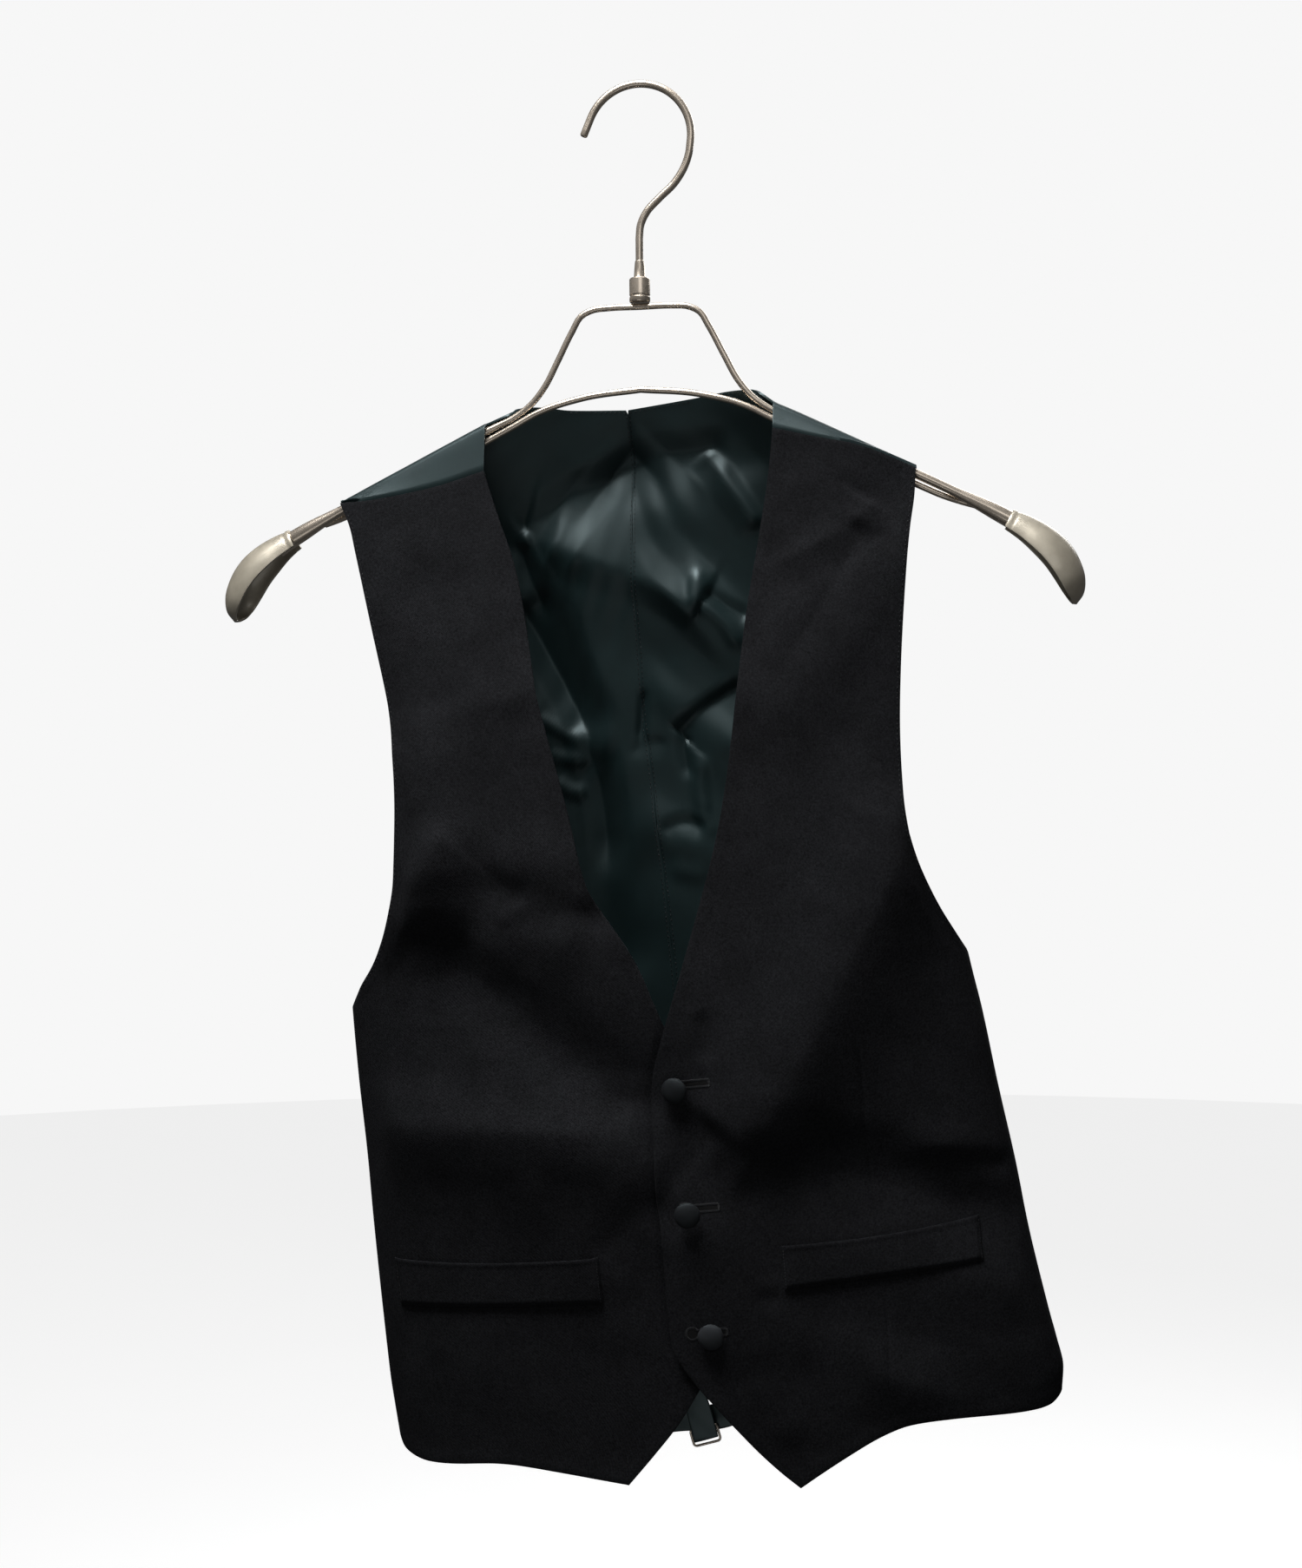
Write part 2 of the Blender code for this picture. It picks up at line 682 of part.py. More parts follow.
def add_buttons(tree, collection):
    """Covered buttons: domed, standing on the left front."""
    half = BUTTON_WIDE / 2
    profile = [(0.0, BUTTON_HIGH)]
    for angle in (20, 38, 56, 74, 90):
        turn = math.radians(angle)
        profile.append((half * math.sin(turn), BUTTON_RIM + (BUTTON_HIGH - BUTTON_RIM) * math.cos(turn)))
    profile += [(half - 0.5, 0.4), (half - 2.4, 0.0), (0.0, 0.0)]
    for name, across, drop in BUTTONS:
        around = {}
        for dx in (-half, 0, half):
            for up in (-half, 0, half):
                depth = surface_depth(tree, across + dx, drop - up, -1)
                around[dx, up] = Vector((across + dx, depth, up - drop))
        lean_across = (around[half, 0].y - around[-half, 0].y) / BUTTON_WIDE
        lean_up = (around[0, half].y - around[0, -half].y) / BUTTON_WIDE
        outward = Vector((lean_across, -1.0, lean_up)).normalized()
        middle = around[0, 0]
        lift = max((point - middle).dot(outward) for point in around.values()) + WOOL / 2 + BUTTON_GAP
        button = turned(name, profile, BUTTON_STEPS, collection, SATIN_GREEN)
        turn = outward.to_track_quat("Z", "Y").to_matrix().to_4x4()
        button.matrix_world = Matrix.Translation((middle + outward * lift) * MM) @ turn


def wire(name, points, thick, collection, finish, resolution=2, closed=False, sizes=None):
    """A bent wire: a poly line with a round section and closed ends."""
    curve = bpy.data.curves.new(name, "CURVE")
    curve.dimensions = "3D"
    curve.bevel_depth = thick / 2 * MM
    curve.bevel_resolution = resolution
    curve.use_fill_caps = not closed
    spline = curve.splines.new("POLY")
    spline.points.add(len(points) - 1)
    for index, point in enumerate(points):
        spline.points[index].co = (*(Vector(point) * MM), 1.0)
        if sizes:
            spline.points[index].radius = sizes[index] / thick
    spline.use_cyclic_u = closed
    spline.use_smooth = True
    thing = bpy.data.objects.new(name, curve)
    return place(thing, collection, finish)


def eased_line(rows, count):
    """Points read evenly from a smooth curve through the rows of a table."""
    lengths = [0.0]
    for a, b in zip(rows, rows[1:]):
        lengths.append(lengths[-1] + (Vector(b) - Vector(a)).length)
    table = [(length, *row) for length, row in zip(lengths, rows)]
    return [Vector(read_rows(table, lengths[-1] * k / count)) for k in range(count + 1)]


def add_hook(collection):
    points = []
    tip_turn = math.radians(HOOK_TIP_ANGLE)
    middle = Vector((0.0, 0.0, HOOK_WIRE / 2 - HOOK_RADIUS))
    start = middle + HOOK_RADIUS * Vector((math.cos(tip_turn), 0, math.sin(tip_turn)))
    down = Vector((-math.sin(tip_turn), 0, math.cos(tip_turn)))
    points.append(start + down * HOOK_TIP_LENGTH)
    points.append(start + down * HOOK_TIP_LENGTH / 2)
    steps = 20
    for step in range(steps + 1):
        turn = math.radians(blend(HOOK_TIP_ANGLE, HOOK_TURN_ANGLE, step / steps))
        points.append(middle + HOOK_RADIUS * Vector((math.cos(turn), 0, math.sin(turn))))
    last = points[-1]
    bend = [(last.x, -last.z)] + HOOK_NECK
    for point in eased_line(bend, 14)[1:]:
        points.append(Vector((point.x, 0.0, -point.y)))
    points.append(Vector((0.0, 0.0, -88.0)))
    points.append(Vector((0.0, 0.0, WIRE_GAP - COLLAR_TOP)))
    wire("hanger_hook", points, HOOK_WIRE, collection, STEEL_WARM, resolution=3)


def add_nut(collection):
    """The nut, with the tapered collar that the hook ends in."""
    profile = [
        (0.0, -COLLAR_TOP),
        (2.2, -COLLAR_TOP),
        (2.6, -93.0),
        (3.0, -99.0),
        (4.9, -NUT_TOP),
        (5.4, -100.4),
        (5.4, -108.2),
        (5.0, -108.5),
        (5.0, -109.1),
        (5.4, -109.4),
        (5.4, -111.4),
        (4.8, -NUT_FOOT),
        (0.0, -NUT_FOOT),
    ]
    turned("hanger_nut", profile, 24, collection, STEEL_WARM)


def add_frame_wire(collection):
    half = eased_line(FRAME_LINE, 34)
    line = [Vector((-p.x, 0.0, -p.y)) for p in reversed(half[1:])] + [Vector((p.x, 0.0, -p.y)) for p in half]
    sizes = []
    for point in line:
        out = abs(point.x)
        size = blend(NECK_WIRE, ARM_WIRE, ease((out - 62.0) / 50.0))
        sizes.append(blend(size, CAP_WIRE, ease((out - SWELL_START) / SWELL_LENGTH)))
    wire("hanger_frame", line, NECK_WIRE, collection, STEEL_WARM, sizes=sizes)


def add_arch_wire(collection):
    half = eased_line(ARCH_LINE, 20)
    line = [Vector((-p.x, p.y, -p.z)) for p in reversed(half[1:])] + [Vector((p.x, p.y, -p.z)) for p in half]
    wire("hanger_arch", line, ARCH_WIRE, collection, STEEL_WARM)


def add_cap(name, side, collection):
    """A moulded cap: half round above, hollow below, drawn together at its tip."""
    rows = []
    for top_x, top_drop, rim_x, rim_drop, half in CAP_STATIONS:
        row = []
        for k in range(CAP_ROUND + 1):
            turn = math.pi * k / CAP_ROUND
            lift = math.sin(turn)
            across = blend(rim_x, top_x, lift)
            drop = blend(rim_drop, top_drop, lift)
            row.append(Vector((side * across, half * math.cos(turn), -drop)))
        rows.append(row)
    offset = 1.0 if side > 0 else -1.0
    wall(name, rows, CAP_WALL, offset, collection, CAP_CHAMPAGNE)


def add_strap(name, line, trees, collection):
    """A flat strap that lies on the back and hangs on below the hem."""
    middle = []
    depth = None
    for across, drop, out in line:
        hits = [surface_depth(tree, across, drop, 1) for tree in trees]
        hits = [hit for hit in hits if hit is not None]
        if hits:
            depth = max(hits) + SATIN / 2 + LAID_GAP + STRAP_THICK / 2 + STRAP_CLEAR
        middle.append(Vector((across, depth + out, -drop)))
    smooth = eased_line([tuple(point) for point in middle], 10)
    rows = []
    for index, point in enumerate(smooth):
        before = smooth[max(0, index - 1)]
        after = smooth[min(len(smooth) - 1, index + 1)]
        run = (after - before).normalized()
        wide = run.cross(Vector((0, 1, 0))).normalized()
        rows.append([point + wide * STRAP_WIDE * share for share in (-0.5, -0.17, 0.17, 0.5)])
    wall(name, rows, STRAP_THICK, 0.0, collection, SATIN_GREEN)
    return smooth[-1]


def add_slide(depth, collection):
    """Wire slide that hangs on the strap's end: a rectangle with round corners."""
    middle_x, middle_drop = SLIDE_CENTRE
    lean = Matrix.Rotation(math.radians(-SLIDE_LEAN), 3, "Y")
    corner = 1.8
    points = []
    for quarter, (sx, sz) in enumerate(((1, 1), (-1, 1), (-1, -1), (1, -1))):
        for step in range(4):
            turn = math.radians(quarter * 90 + step * 30)
            across = sx * (SLIDE_WIDE / 2 - corner) + corner * math.cos(turn)
            up = sz * (SLIDE_HIGH / 2 - corner) + corner * math.sin(turn)
            points.append(Vector((middle_x, depth, -middle_drop)) + lean @ Vector((across, 0, up)))
    wire("strap_slide", points, SLIDE_WIRE, collection, STEEL_WARM, closed=True)


def main():
    tidy_scene()
    collection = bpy.data.collections.new("tuxedo_waistcoat")
    bpy.context.scene.collection.children.link(collection)
    right, left, back_right, back_left = add_fronts_and_backs(collection)
    add_welt("welt_right", RIGHT_WELT, right, collection)
    add_welt("welt_left", LEFT_WELT, left, collection)
    add_buttons(left, collection)
    end = add_strap("strap_buckle", BUCKLE_STRAP, (back_right, back_left), collection)
    add_strap("strap_tongue", TONGUE_STRAP, (back_right, back_left), collection)
    add_slide(end.y + SLIDE_BEHIND, collection)
    add_hook(collection)
    add_nut(collection)
    add_frame_wire(collection)
    add_arch_wire(collection)
    add_cap("cap_right", -1, collection)
    add_cap("cap_left", 1, collection)


main()
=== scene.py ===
"""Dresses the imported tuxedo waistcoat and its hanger: fine cloth shells, sewing, finishes and a stage.

Across is X, towards the garment's left side as worn, and a drop is a distance straight down from the
hook's seat. Tables are in millimetres. The built pieces are in metres, at their real place.
"""
import math

import bmesh
import bpy
import numpy as np
from bpy.props import FloatProperty, FloatVectorProperty, IntProperty, PointerProperty
from mathutils import Matrix, Vector
from mathutils.bvhtree import BVHTree


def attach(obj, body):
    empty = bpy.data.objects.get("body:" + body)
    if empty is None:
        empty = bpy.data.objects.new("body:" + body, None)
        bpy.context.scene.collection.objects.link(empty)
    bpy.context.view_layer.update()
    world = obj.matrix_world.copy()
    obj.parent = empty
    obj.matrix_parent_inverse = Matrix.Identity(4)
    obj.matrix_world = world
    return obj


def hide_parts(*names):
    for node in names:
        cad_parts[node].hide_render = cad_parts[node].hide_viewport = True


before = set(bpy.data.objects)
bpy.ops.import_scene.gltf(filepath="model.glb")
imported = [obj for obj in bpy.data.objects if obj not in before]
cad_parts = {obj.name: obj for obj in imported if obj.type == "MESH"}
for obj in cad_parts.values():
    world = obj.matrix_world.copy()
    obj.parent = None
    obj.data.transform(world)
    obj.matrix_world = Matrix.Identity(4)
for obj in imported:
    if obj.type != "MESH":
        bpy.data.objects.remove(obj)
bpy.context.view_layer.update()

bl_info = {
    "name": "Tuxedo waistcoat on a hanger",
    "version": (1, 0, 0),
    "blender": (4, 5, 0),
    "location": "View3D > Sidebar > Waistcoat",
    "description": "Sews the waistcoat's cloth over its packed pieces and sets the stage",
    "category": "Object",
}

MM = 0.001
BODY = "root"
# Points closer than this are one point.
WELD = 1e-6
FORWARDS = (0.0, -1.0, 0.0)
BACKWARDS = (0.0, 1.0, 0.0)
# How far the right front runs on under the left one, and the drop where their edges cross.
LAP = 24 * MM
CROSSING = 484.0
# How far a turned edge stands above the cloth inside it.
TURNING = 0.22 * MM
# Room between the wool and the satin that is let in under it.
UNDER_WOOL = 0.2 * MM
# Drop of each armhole's lowest point.
UNDERARM = {"right": 478.8, "left": 448.4}
# Creases die out over this much of the cloth next to a panel's outer edge.
CALM_EDGE = 14 * MM
# The back is smooth for this far down from its shoulder seams.
SMOOTH_YOKE = 22 * MM
# How far the stitches are from the edges, and the drop down to which the back's seam is seen.
ARMHOLE_INSET = 1.6 * MM
SEAM_INSET = 1.4 * MM
WELT_INSET = 1.2 * MM
STRAP_INSET = 1.3 * MM
SEAM_SEEN = 480
# How far the right front is pressed in where the left one's edge lies on it.
PRESSED = 1.5 * MM
WELT_WALL = 0.8 * MM
# How far a welt's ends and foot are pressed in, and how far its top edge is rolled out.
WELT_PRESS = 1.6 * MM
WELT_ROLL = 0.35 * MM
# Pitch, length and thickness of the stitches at a welt's ends.
WELT_STITCH = (1.5 * MM, 1.0 * MM, 0.36 * MM)
STRAP_WALL = 1.3 * MM
CAP_WALL = 1.5 * MM
# A cap's mouth: how far its lip stands out, and how deep the groove behind the lip is.
CAP_LIP = 0.3 * MM
CAP_GROOVE = 0.25 * MM
ARCH_WIRE = 3.4

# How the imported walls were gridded: cells across and cells down, from the shoulder to the hem.
FRONT_CELLS = (16, 36)
BACK_CELLS = (16, 39)
BACK_WRAP_ROWS = 7
# Rows from the shoulder seam to the middle of the back's neckline.
NECKLINE_ROWS = 13
WELT_CELLS = (10, 2)
# Fine cells of a welt and of a cap, across and down.
WELT_FINE = (90, 22)
CAP_FINE = (48, 64)
# Bends past which a rim parts two faces, in degrees, in the order that they are tried.
RIM_ANGLES = (50, 45, 55, 40, 60)
# A bend down a grid starts to count as a corner at this turn, in degrees, and is one past this more.
CORNER_TURN = 13.0
CORNER_SPAN = 14.0

# Folds and creases of the fronts. Each runs through three places. Its rise is out of the face when
# positive, and falls off evenly over a width above and a width below its line, or to its left and
# right where it stands. It fades in and out over shares of its run, and the crest is how round it is.
# across, drop, across, drop, across, drop, rise, above, below, fade in, fade out, crest
RIGHT_CREASES = [
    (-152, 322, -100, 325, -46, 316, 3.4, 60, 34, 0.2, 0.12, 2.0),
    (-92, 323, -68, 320, -42, 312, 3.4, 30, 78, 0.35, 0.12, 3.0),
    (-113, 344, -115, 366, -112, 388, 1.4, 12, 12, 0.4, 0.4, 3.0),
    (-93, 386, -107, 405, -120, 438, 2.2, 11, 34, 0.2, 0.4, 1.0),
    (-92, 393, -74, 408, -50, 424, -1.3, 15, 13, 0.35, 0.2, 1.4),
    (-67, 437, -62, 427, -50, 425, 1.3, 5, 9, 0.3, 0.3, 0.8),
    (-84, 402, -50, 411, -12, 424, 4.8, 42, 56, 0.45, 0.2, 4.0),
    (-124, 426, -100, 424, -76, 430, 2.0, 28, 18, 0.25, 0.35, 2.0),
    (-121, 434, -86, 461, -40, 490, -3.0, 18, 46, 0.15, 0.3, 1.0),
    (-66, 474, -26, 506, 8, 534, -2.2, 30, 40, 0.3, 0.25, 1.6),
    (-112, 458, -104, 488, -96, 528, -1.4, 13, 16, 0.35, 0.3, 3.0),
    (-140, 540, -66, 536, 30, 547, 2.8, 44, 36, 0.15, 0.3, 1.0),
    (-70, 566, -46, 576, -20, 600, 1.4, 20, 20, 0.4, 0.4, 4.0),
    (-28, 604, -6, 586, 16, 560, -2.0, 13, 18, 0.3, 0.3, 2.0),
    (-126, 640, -90, 656, -40, 650, 1.6, 28, 24, 0.4, 0.4, 5.0),
    (-134, 246, -106, 258, -76, 248, -1.4, 20, 24, 0.4, 0.4, 6.0),
]
LEFT_CREASES = [
    (121, 219, 101, 237, 58, 256, 3.6, 24, 12, 0.1, 0.25, 1.2),
    (115, 229, 98, 266, 60, 328, -3.4, 15, 26, 0.12, 0.3, 1.6),
    (114, 286, 108, 330, 100, 382, -1.6, 22, 22, 0.4, 0.4, 6.0),
    (142, 380, 107, 456, 58, 550, 4.4, 40, 56, 0.06, 0.1, 1.3),
    (54, 545, 118, 560, 200, 582, -2.4, 30, 34, 0.1, 0.08, 1.3),
    (148, 557, 168, 553, 190, 556, -1.6, 7, 9, 0.3, 0.2, 1.0),
    (34, 474, 37, 488, 35, 503, -1.6, 7, 7, 0.3, 0.3, 1.2),
    (44, 528, 26, 554, 6, 592, -4.2, 26, 24, 0.2, 0.25, 2.0),
    (62, 614, 68, 618, 75, 618, -1.0, 6, 7, 0.3, 0.3, 1.0),
    (108, 650, 134, 659, 162, 662, 2.2, 20, 22, 0.35, 0.4, 3.0),
    (60, 652, 72, 670, 80, 698, 1.6, 18, 18, 0.4, 0.3, 5.0),
    (146, 596, 172, 612, 198, 622, 1.6, 18, 18, 0.4, 0.3, 4.0),
]
# Creases of the satin back, a positive rise being outwards, away from the wearer.
BACK_CREASES = [
    (-71, 227, -34, 205, 8, 188, 3.2, 12, 46, 0.06, 0.25, 1.0),
    (-24, 200, 8, 188, 44, 187, 2.6, 12, 36, 0.3, 0.12, 1.0),
    (-71, 229, -37, 241, 2, 256, -3.2, 42, 14, 0.06, 0.3, 0.8),
    (-16, 249, 6, 259, 27, 270, -3.4, 32, 13, 0.35, 0.06, 0.6),
    (30, 186, 45, 207, 60, 230, -3.2, 7, 11, 0.1, 0.15, 0.7),
    (-50, 196, -30, 190, -12, 180, -1.4, 10, 10, 0.4, 0.4, 1.6),
    (29, 249, 25, 259, 26, 269, -1.7, 5, 5, 0.3, 0.15, 0.6),
    (29, 259, 40, 268, 54, 275, 2.2, 5, 7, 0.15, 0.15, 0.6),
    (27, 268, 38, 276, 49, 294, -2.0, 6, 6, 0.1, 0.2, 0.6),
    (-70, 231, -65, 253, -53, 277, 2.6, 8, 7, 0.1, 0.3, 0.7),
    (-76, 262, -54, 300, -31, 345, 6.2, 22, 11, 0.12, 0.2, 0.8),
    (-36, 334, -29, 373, -26, 416, 5.0, 15, 11, 0.25, 0.3, 0.9),
    (-44, 250, -31, 296, -20, 350, -2.4, 26, 9, 0.25, 0.3, 2.4),
    (-64, 325, -52, 333, -37, 340, -2.0, 5, 4, 0.2, 0.25, 0.6),
    (-59, 345, -48, 349, -33, 349, -1.7, 5, 4, 0.2, 0.25, 0.6),
    (-56, 360, -47, 366, -37, 367, -2.0, 6, 4, 0.2, 0.25, 0.6),
    (-5, 310, -6, 326, -8, 342, 2.4, 4, 4, 0.2, 0.25, 0.6),
    (-14, 349, -3, 340, 10, 343, 1.3, 4, 10, 0.3, 0.3, 0.7),
    (12, 336, 27, 323, 50, 309, 3.8, 6, 24, 0.06, 0.1, 0.6),
    (16, 336, 17, 348, 20, 362, 2.0, 5, 6, 0.15, 0.3, 0.6),
    (27, 345, 25, 361, 27, 377, -1.8, 6, 6, 0.3, 0.3, 0.8),
    (2, 390, 16, 383, 30, 389, 2.2, 5, 10, 0.2, 0.2, 0.7),
    (28, 368, 27, 380, 33, 392, -1.6, 5, 6, 0.3, 0.3, 0.8),
    (6, 404, 18, 410, 32, 409, -1.2, 7, 7, 0.35, 0.35, 1.2),
    (-130, 300, -112, 340, -104, 400, 2.0, 22, 22, 0.4, 0.4, 4.0),
    (112, 280, 98, 340, 90, 410, 2.2, 22, 22, 0.4, 0.4, 4.0),
    (-128, 462, -70, 490, -14, 508, -2.2, 20, 24, 0.3, 0.4, 3.0),
    (34, 474, 96, 482, 156, 466, 2.0, 22, 24, 0.35, 0.4, 3.0),
    (58, 548, 110, 556, 174, 544, -2.0, 20, 24, 0.35, 0.35, 3.0),
    (-116, 580, -70, 588, -14, 566, 1.8, 22, 24, 0.35, 0.35, 3.0),
    (-100, 646, -60, 650, -6, 638, -1.6, 22, 24, 0.35, 0.4, 4.0),
    (66, 644, 120, 634, 176, 618, 1.6, 22, 24, 0.35, 0.4, 4.0),
]

# Darts: across and drop down their seams, above and below the welts.
DARTS = {
    "dart_right_upper": [(-86.8, 489.7), (-83.9, 514.0), (-76.8, 557.6), (-72.8, 598.0)],
    "dart_right_lower": [(-69.5, 629.0), (-63.5, 661.0), (-60.4, 696.0)],
    "dart_left_upper": [(111.0, 484.5), (114.2, 512.7), (115.3, 536.0), (119.4, 569.4), (120.6, 583.0)],
    "dart_left_lower": [(124.6, 609.5), (126.0, 640.0), (126.7, 664.0)],
}

# Keyhole buttonholes: where the eyelet's middle is and where the bar is.
# name, eyelet across, eyelet drop, bar across, bar drop
BUTTONHOLES = [
    ("buttonhole_top", 22.0, 512.6, 39.0, 510.6),
    ("buttonhole_middle", 26.4, 574.2, 43.2, 572.4),
    ("buttonhole_bottom", 29.4, 636.0, 46.6, 634.4),
]
EYELET_RADIUS = 2.3
SLIT_HALF = 0.9
# How far the lip's stitches lie out from the slit; the length and thickness of one.
LIP = 0.75
LIP_STITCH = (1.7 * MM, 0.42 * MM)

# Waist straps: the line down the middle of each, with its distance out from the back.
# across, drop, depth out of the back
BUCKLE_STRAP = [
    (-88, 571, 0), (-60, 594, 1), (-28, 628, 2), (1, 664, 3), (17.5, 691, 3), (24.5, 715, 3),
]
TONGUE_STRAP = [
    (118, 562, 0), (98, 592, 1), (79, 632, 3), (62, 672, 6), (40, 700, 8), (4, 707, 9),
]
STRAP_WIDE = 13.4
# The slide: its middle's across and drop, its width, its height and its lean in degrees.
SLIDE_PLACE = (23.6, 713.4)
SLIDE_SIZE = (15.0, 9.0)
SLIDE_LEAN = 16.0
SLIDE_CORNER = 1.8
SLIDE_WIRE = 1.4
SLIDE_BAR = 1.2
# How far a strap's outer face stands out of the back that it is laid on.
STRAP_STAND = 1.7
# A button's radius, the height of its dome, and how far the dome's middle is above its foot.
BUTTON_RADIUS = 6.5
BUTTON_DOME = 2.6
BUTTON_LIFT = 2.5

# Hanger lines, the half on the garment's left.
# across, drop
FRAME_LINE = [
    (0, 114.1), (17, 114.1), (25, 114.8), (31, 117.6), (36, 125.5), (44, 141.0), (51, 154.0),
    (58, 162.6), (67, 169.2), (80, 175.2), (122, 195.7), (163, 216.0), (180, 225.0), (190, 230.8),
    (197, 235.4),
]
# across, depth, drop
ARCH_LINE = [
    (0, 0.0, 157.2), (30, 0.0, 160.4), (57, 0.0, 168.4), (67, 0.0, 173.7),
    (80, 0.0, 180.3), (122, 0.6, 200.6), (145, 1.2, 212.0), (156, 2.2, 216.9),
    (164, 5.0, 219.4), (173, 6.4, 222.0),
]
FRAME_WIRE = 3.3
ARM_WIRE = 4.8
MOUTH_WIRE = 8.6
HOOK_WIRE = 4.0
# The hook's round: its radius, its top above the seat, and where it starts and ends, in degrees.
HOOK_RADIUS = 27.5
HOOK_TOP = 2.0
HOOK_TURN = (157.0, -7.0)
# across, drop
HOOK_NECK = [
    (26.4, 35.5), (24.2, 42.0), (18.8, 50.5), (10.5, 58.2), (4.0, 64.9), (0.8, 71.4), (0.0, 78.4),
]
# Cap sections from the mouth to the tip: top across, top drop, rim across, rim drop, half depth
CAP_STATIONS = [
    (191.0, 225.4, 186.4, 234.2, 6.6),
    (200.0, 229.0, 193.5, 239.4, 9.0),
    (209.5, 234.4, 200.2, 245.6, 11.6),
    (217.6, 241.6, 206.6, 252.6, 13.4),
    (223.2, 250.6, 211.6, 260.0, 14.0),
    (226.2, 260.8, 215.6, 266.8, 12.4),
    (225.4, 268.6, 218.4, 271.4, 8.6),
    (221.8, 273.9, 219.6, 273.4, 3.0),
]

# radius, height
NUT_PROFILE = [
    (2.0, -90.1), (2.35, -90.5), (2.7, -94.0), (3.0, -98.6), (3.3, -99.3), (4.9, -99.4),
    (5.35, -99.9), (5.4, -100.4), (5.4, -108.0), (5.1, -108.4), (5.1, -109.0), (5.4, -109.4),
    (5.4, -111.3), (5.0, -111.9), (2.0, -112.0),
]

# The camera, in metres and degrees: level, a little to the garment's left, and rolled by half a degree.
CAMERA_PLACE = (0.17565, -1.08589, -0.36255)
CAMERA_TURN = 9.0
CAMERA_ROLL = 0.5
CAMERA_LENS = 48.51
FLOOR_RADIUS = 6.0

# Share of metal, roughness and coat of the plating; roughness, rib and shine of a button's satin.
NICKEL_LOOK = (0.8, 0.26, 0.0)
BUTTON_LOOK = (0.6, 0.00016, 0.16)


# --- settings -------------------------------------------------------------------------------------


def length_setting(name, text, default, **more):
    """A setting that is a length."""
    return FloatProperty(name=name, description=text, default=default, unit="LENGTH", **more)


def power_setting(name, text, default):
    """A setting that is a light's power."""
    return FloatProperty(name=name, description=text, default=default, unit="POWER")


def colour_setting(name, text, default):
    """A setting that is a colour."""
    return FloatVectorProperty(
        name=name, description=text, subtype="COLOR", default=default, max=1.0
    )


class ClothSizes(bpy.types.PropertyGroup):
    """Sizes of the cloth and the sewing."""

    wool: length_setting("Wool", "Thickness of a front's wall", 1.6 * MM, precision=4)
    satin: length_setting("Satin", "Thickness of the back's wall", 1.2 * MM, precision=4)
    turned_edge: length_setting("Turned edge", "Width of the turning along a free edge", 5.0 * MM)
    stitch_pitch: length_setting("Stitch pitch", "From one edge stitch to the next", 2.6 * MM)
    stitch_length: length_setting("Stitch length", "Length of an edge stitch", 1.3 * MM)
    thread: length_setting("Thread", "Thickness of the sewing thread", 0.42 * MM, precision=5)
    columns: IntProperty(name="Columns", description="Fine cells across a panel", default=104, min=16)
    rows: IntProperty(name="Rows", description="Fine cells down a panel", default=232, min=36)


class Finishes(bpy.types.PropertyGroup):
    """Colours of the cloth, thread, metal and caps."""

    wool: colour_setting("Wool", "Black worsted", (0.0077, 0.0080, 0.0090))
    satin: colour_setting("Satin", "Dark green-grey satin", (0.0040, 0.0102, 0.0108))
    thread: colour_setting("Thread", "Sewing thread", (0.0105, 0.011, 0.012))
    nickel: colour_setting("Nickel", "Plating of the hanger", (0.62, 0.54, 0.45))
    cap: colour_setting("Caps", "Metallised caps", (0.36, 0.325, 0.26))


class StageSettings(bpy.types.PropertyGroup):
    """The floor and the lights."""

    floor_drop: length_setting("Floor", "How far the floor is below the hook's seat", 1.4)
    key: power_setting("Key light", "Power of the key light", 5.0)
    fill: power_setting("Fill light", "Power of the fill light", 2.2)
    low: power_setting("Low light", "Power of the light from below", 2.0)
    top: power_setting("Top light", "Power of the top light", 5.0)
    back: power_setting("Back light", "Power of the light behind", 16.0)
    room: FloatProperty(name="Room", description="Strength of the light from all round", default=0.07)


# --- small helpers --------------------------------------------------------------------------------


def ease(value):
    """A soft step from 0 to 1, of a number or an array."""
    value = np.clip(value, 0.0, 1.0)
    return value * value * (3 - 2 * value)


def unit(vectors):
    """Vectors of length one."""
    return vectors / np.maximum(np.linalg.norm(vectors, axis=-1, keepdims=True), 1e-12)


def read_at(at, run, points):
    """Points of a line at given distances, its own points being at the run's distances."""
    return np.stack([np.interp(at, run, points[:, k]) for k in range(3)], axis=-1)


def runs_across(grid):
    """Distance of each point from the first one of its row."""
    step = np.linalg.norm(np.diff(grid, axis=1), axis=2)
    return np.concatenate([np.zeros((len(grid), 1)), step.cumsum(axis=1)], axis=1)


def settings():
    """The settings of the cloth, the finishes and the stage."""
    scene = bpy.context.scene
    return scene.waistcoat_cloth, scene.waistcoat_finishes, scene.waistcoat_stage


def only(thing):
    """Selects one object alone and makes it active."""
    bpy.ops.object.select_all(action="DESELECT")
    thing.select_set(True)
    bpy.context.view_layer.objects.active = thing


def new_object(name, data):
    """An object of a mesh, curve or camera, linked to the scene."""
    thing = bpy.data.objects.new(name, data)
    bpy.context.scene.collection.objects.link(thing)
    return thing


def edit_whole():
    """Starts editing the active mesh, selected whole."""
    bpy.ops.object.mode_set(mode="EDIT")
    bpy.ops.mesh.select_all(action="SELECT")


def face_outwards():
    """Turns all faces of the edited mesh outwards and ends its editing."""
    bpy.ops.mesh.select_all(action="SELECT")
    bpy.ops.mesh.normals_make_consistent(inside=False)
    bpy.ops.object.mode_set(mode="OBJECT")


def apply_modifiers(thing):
    """Applies an object's modifiers, in order."""
    only(thing)
    for modifier in list(thing.modifiers):
        bpy.ops.object.modifier_apply(modifier=modifier.name)


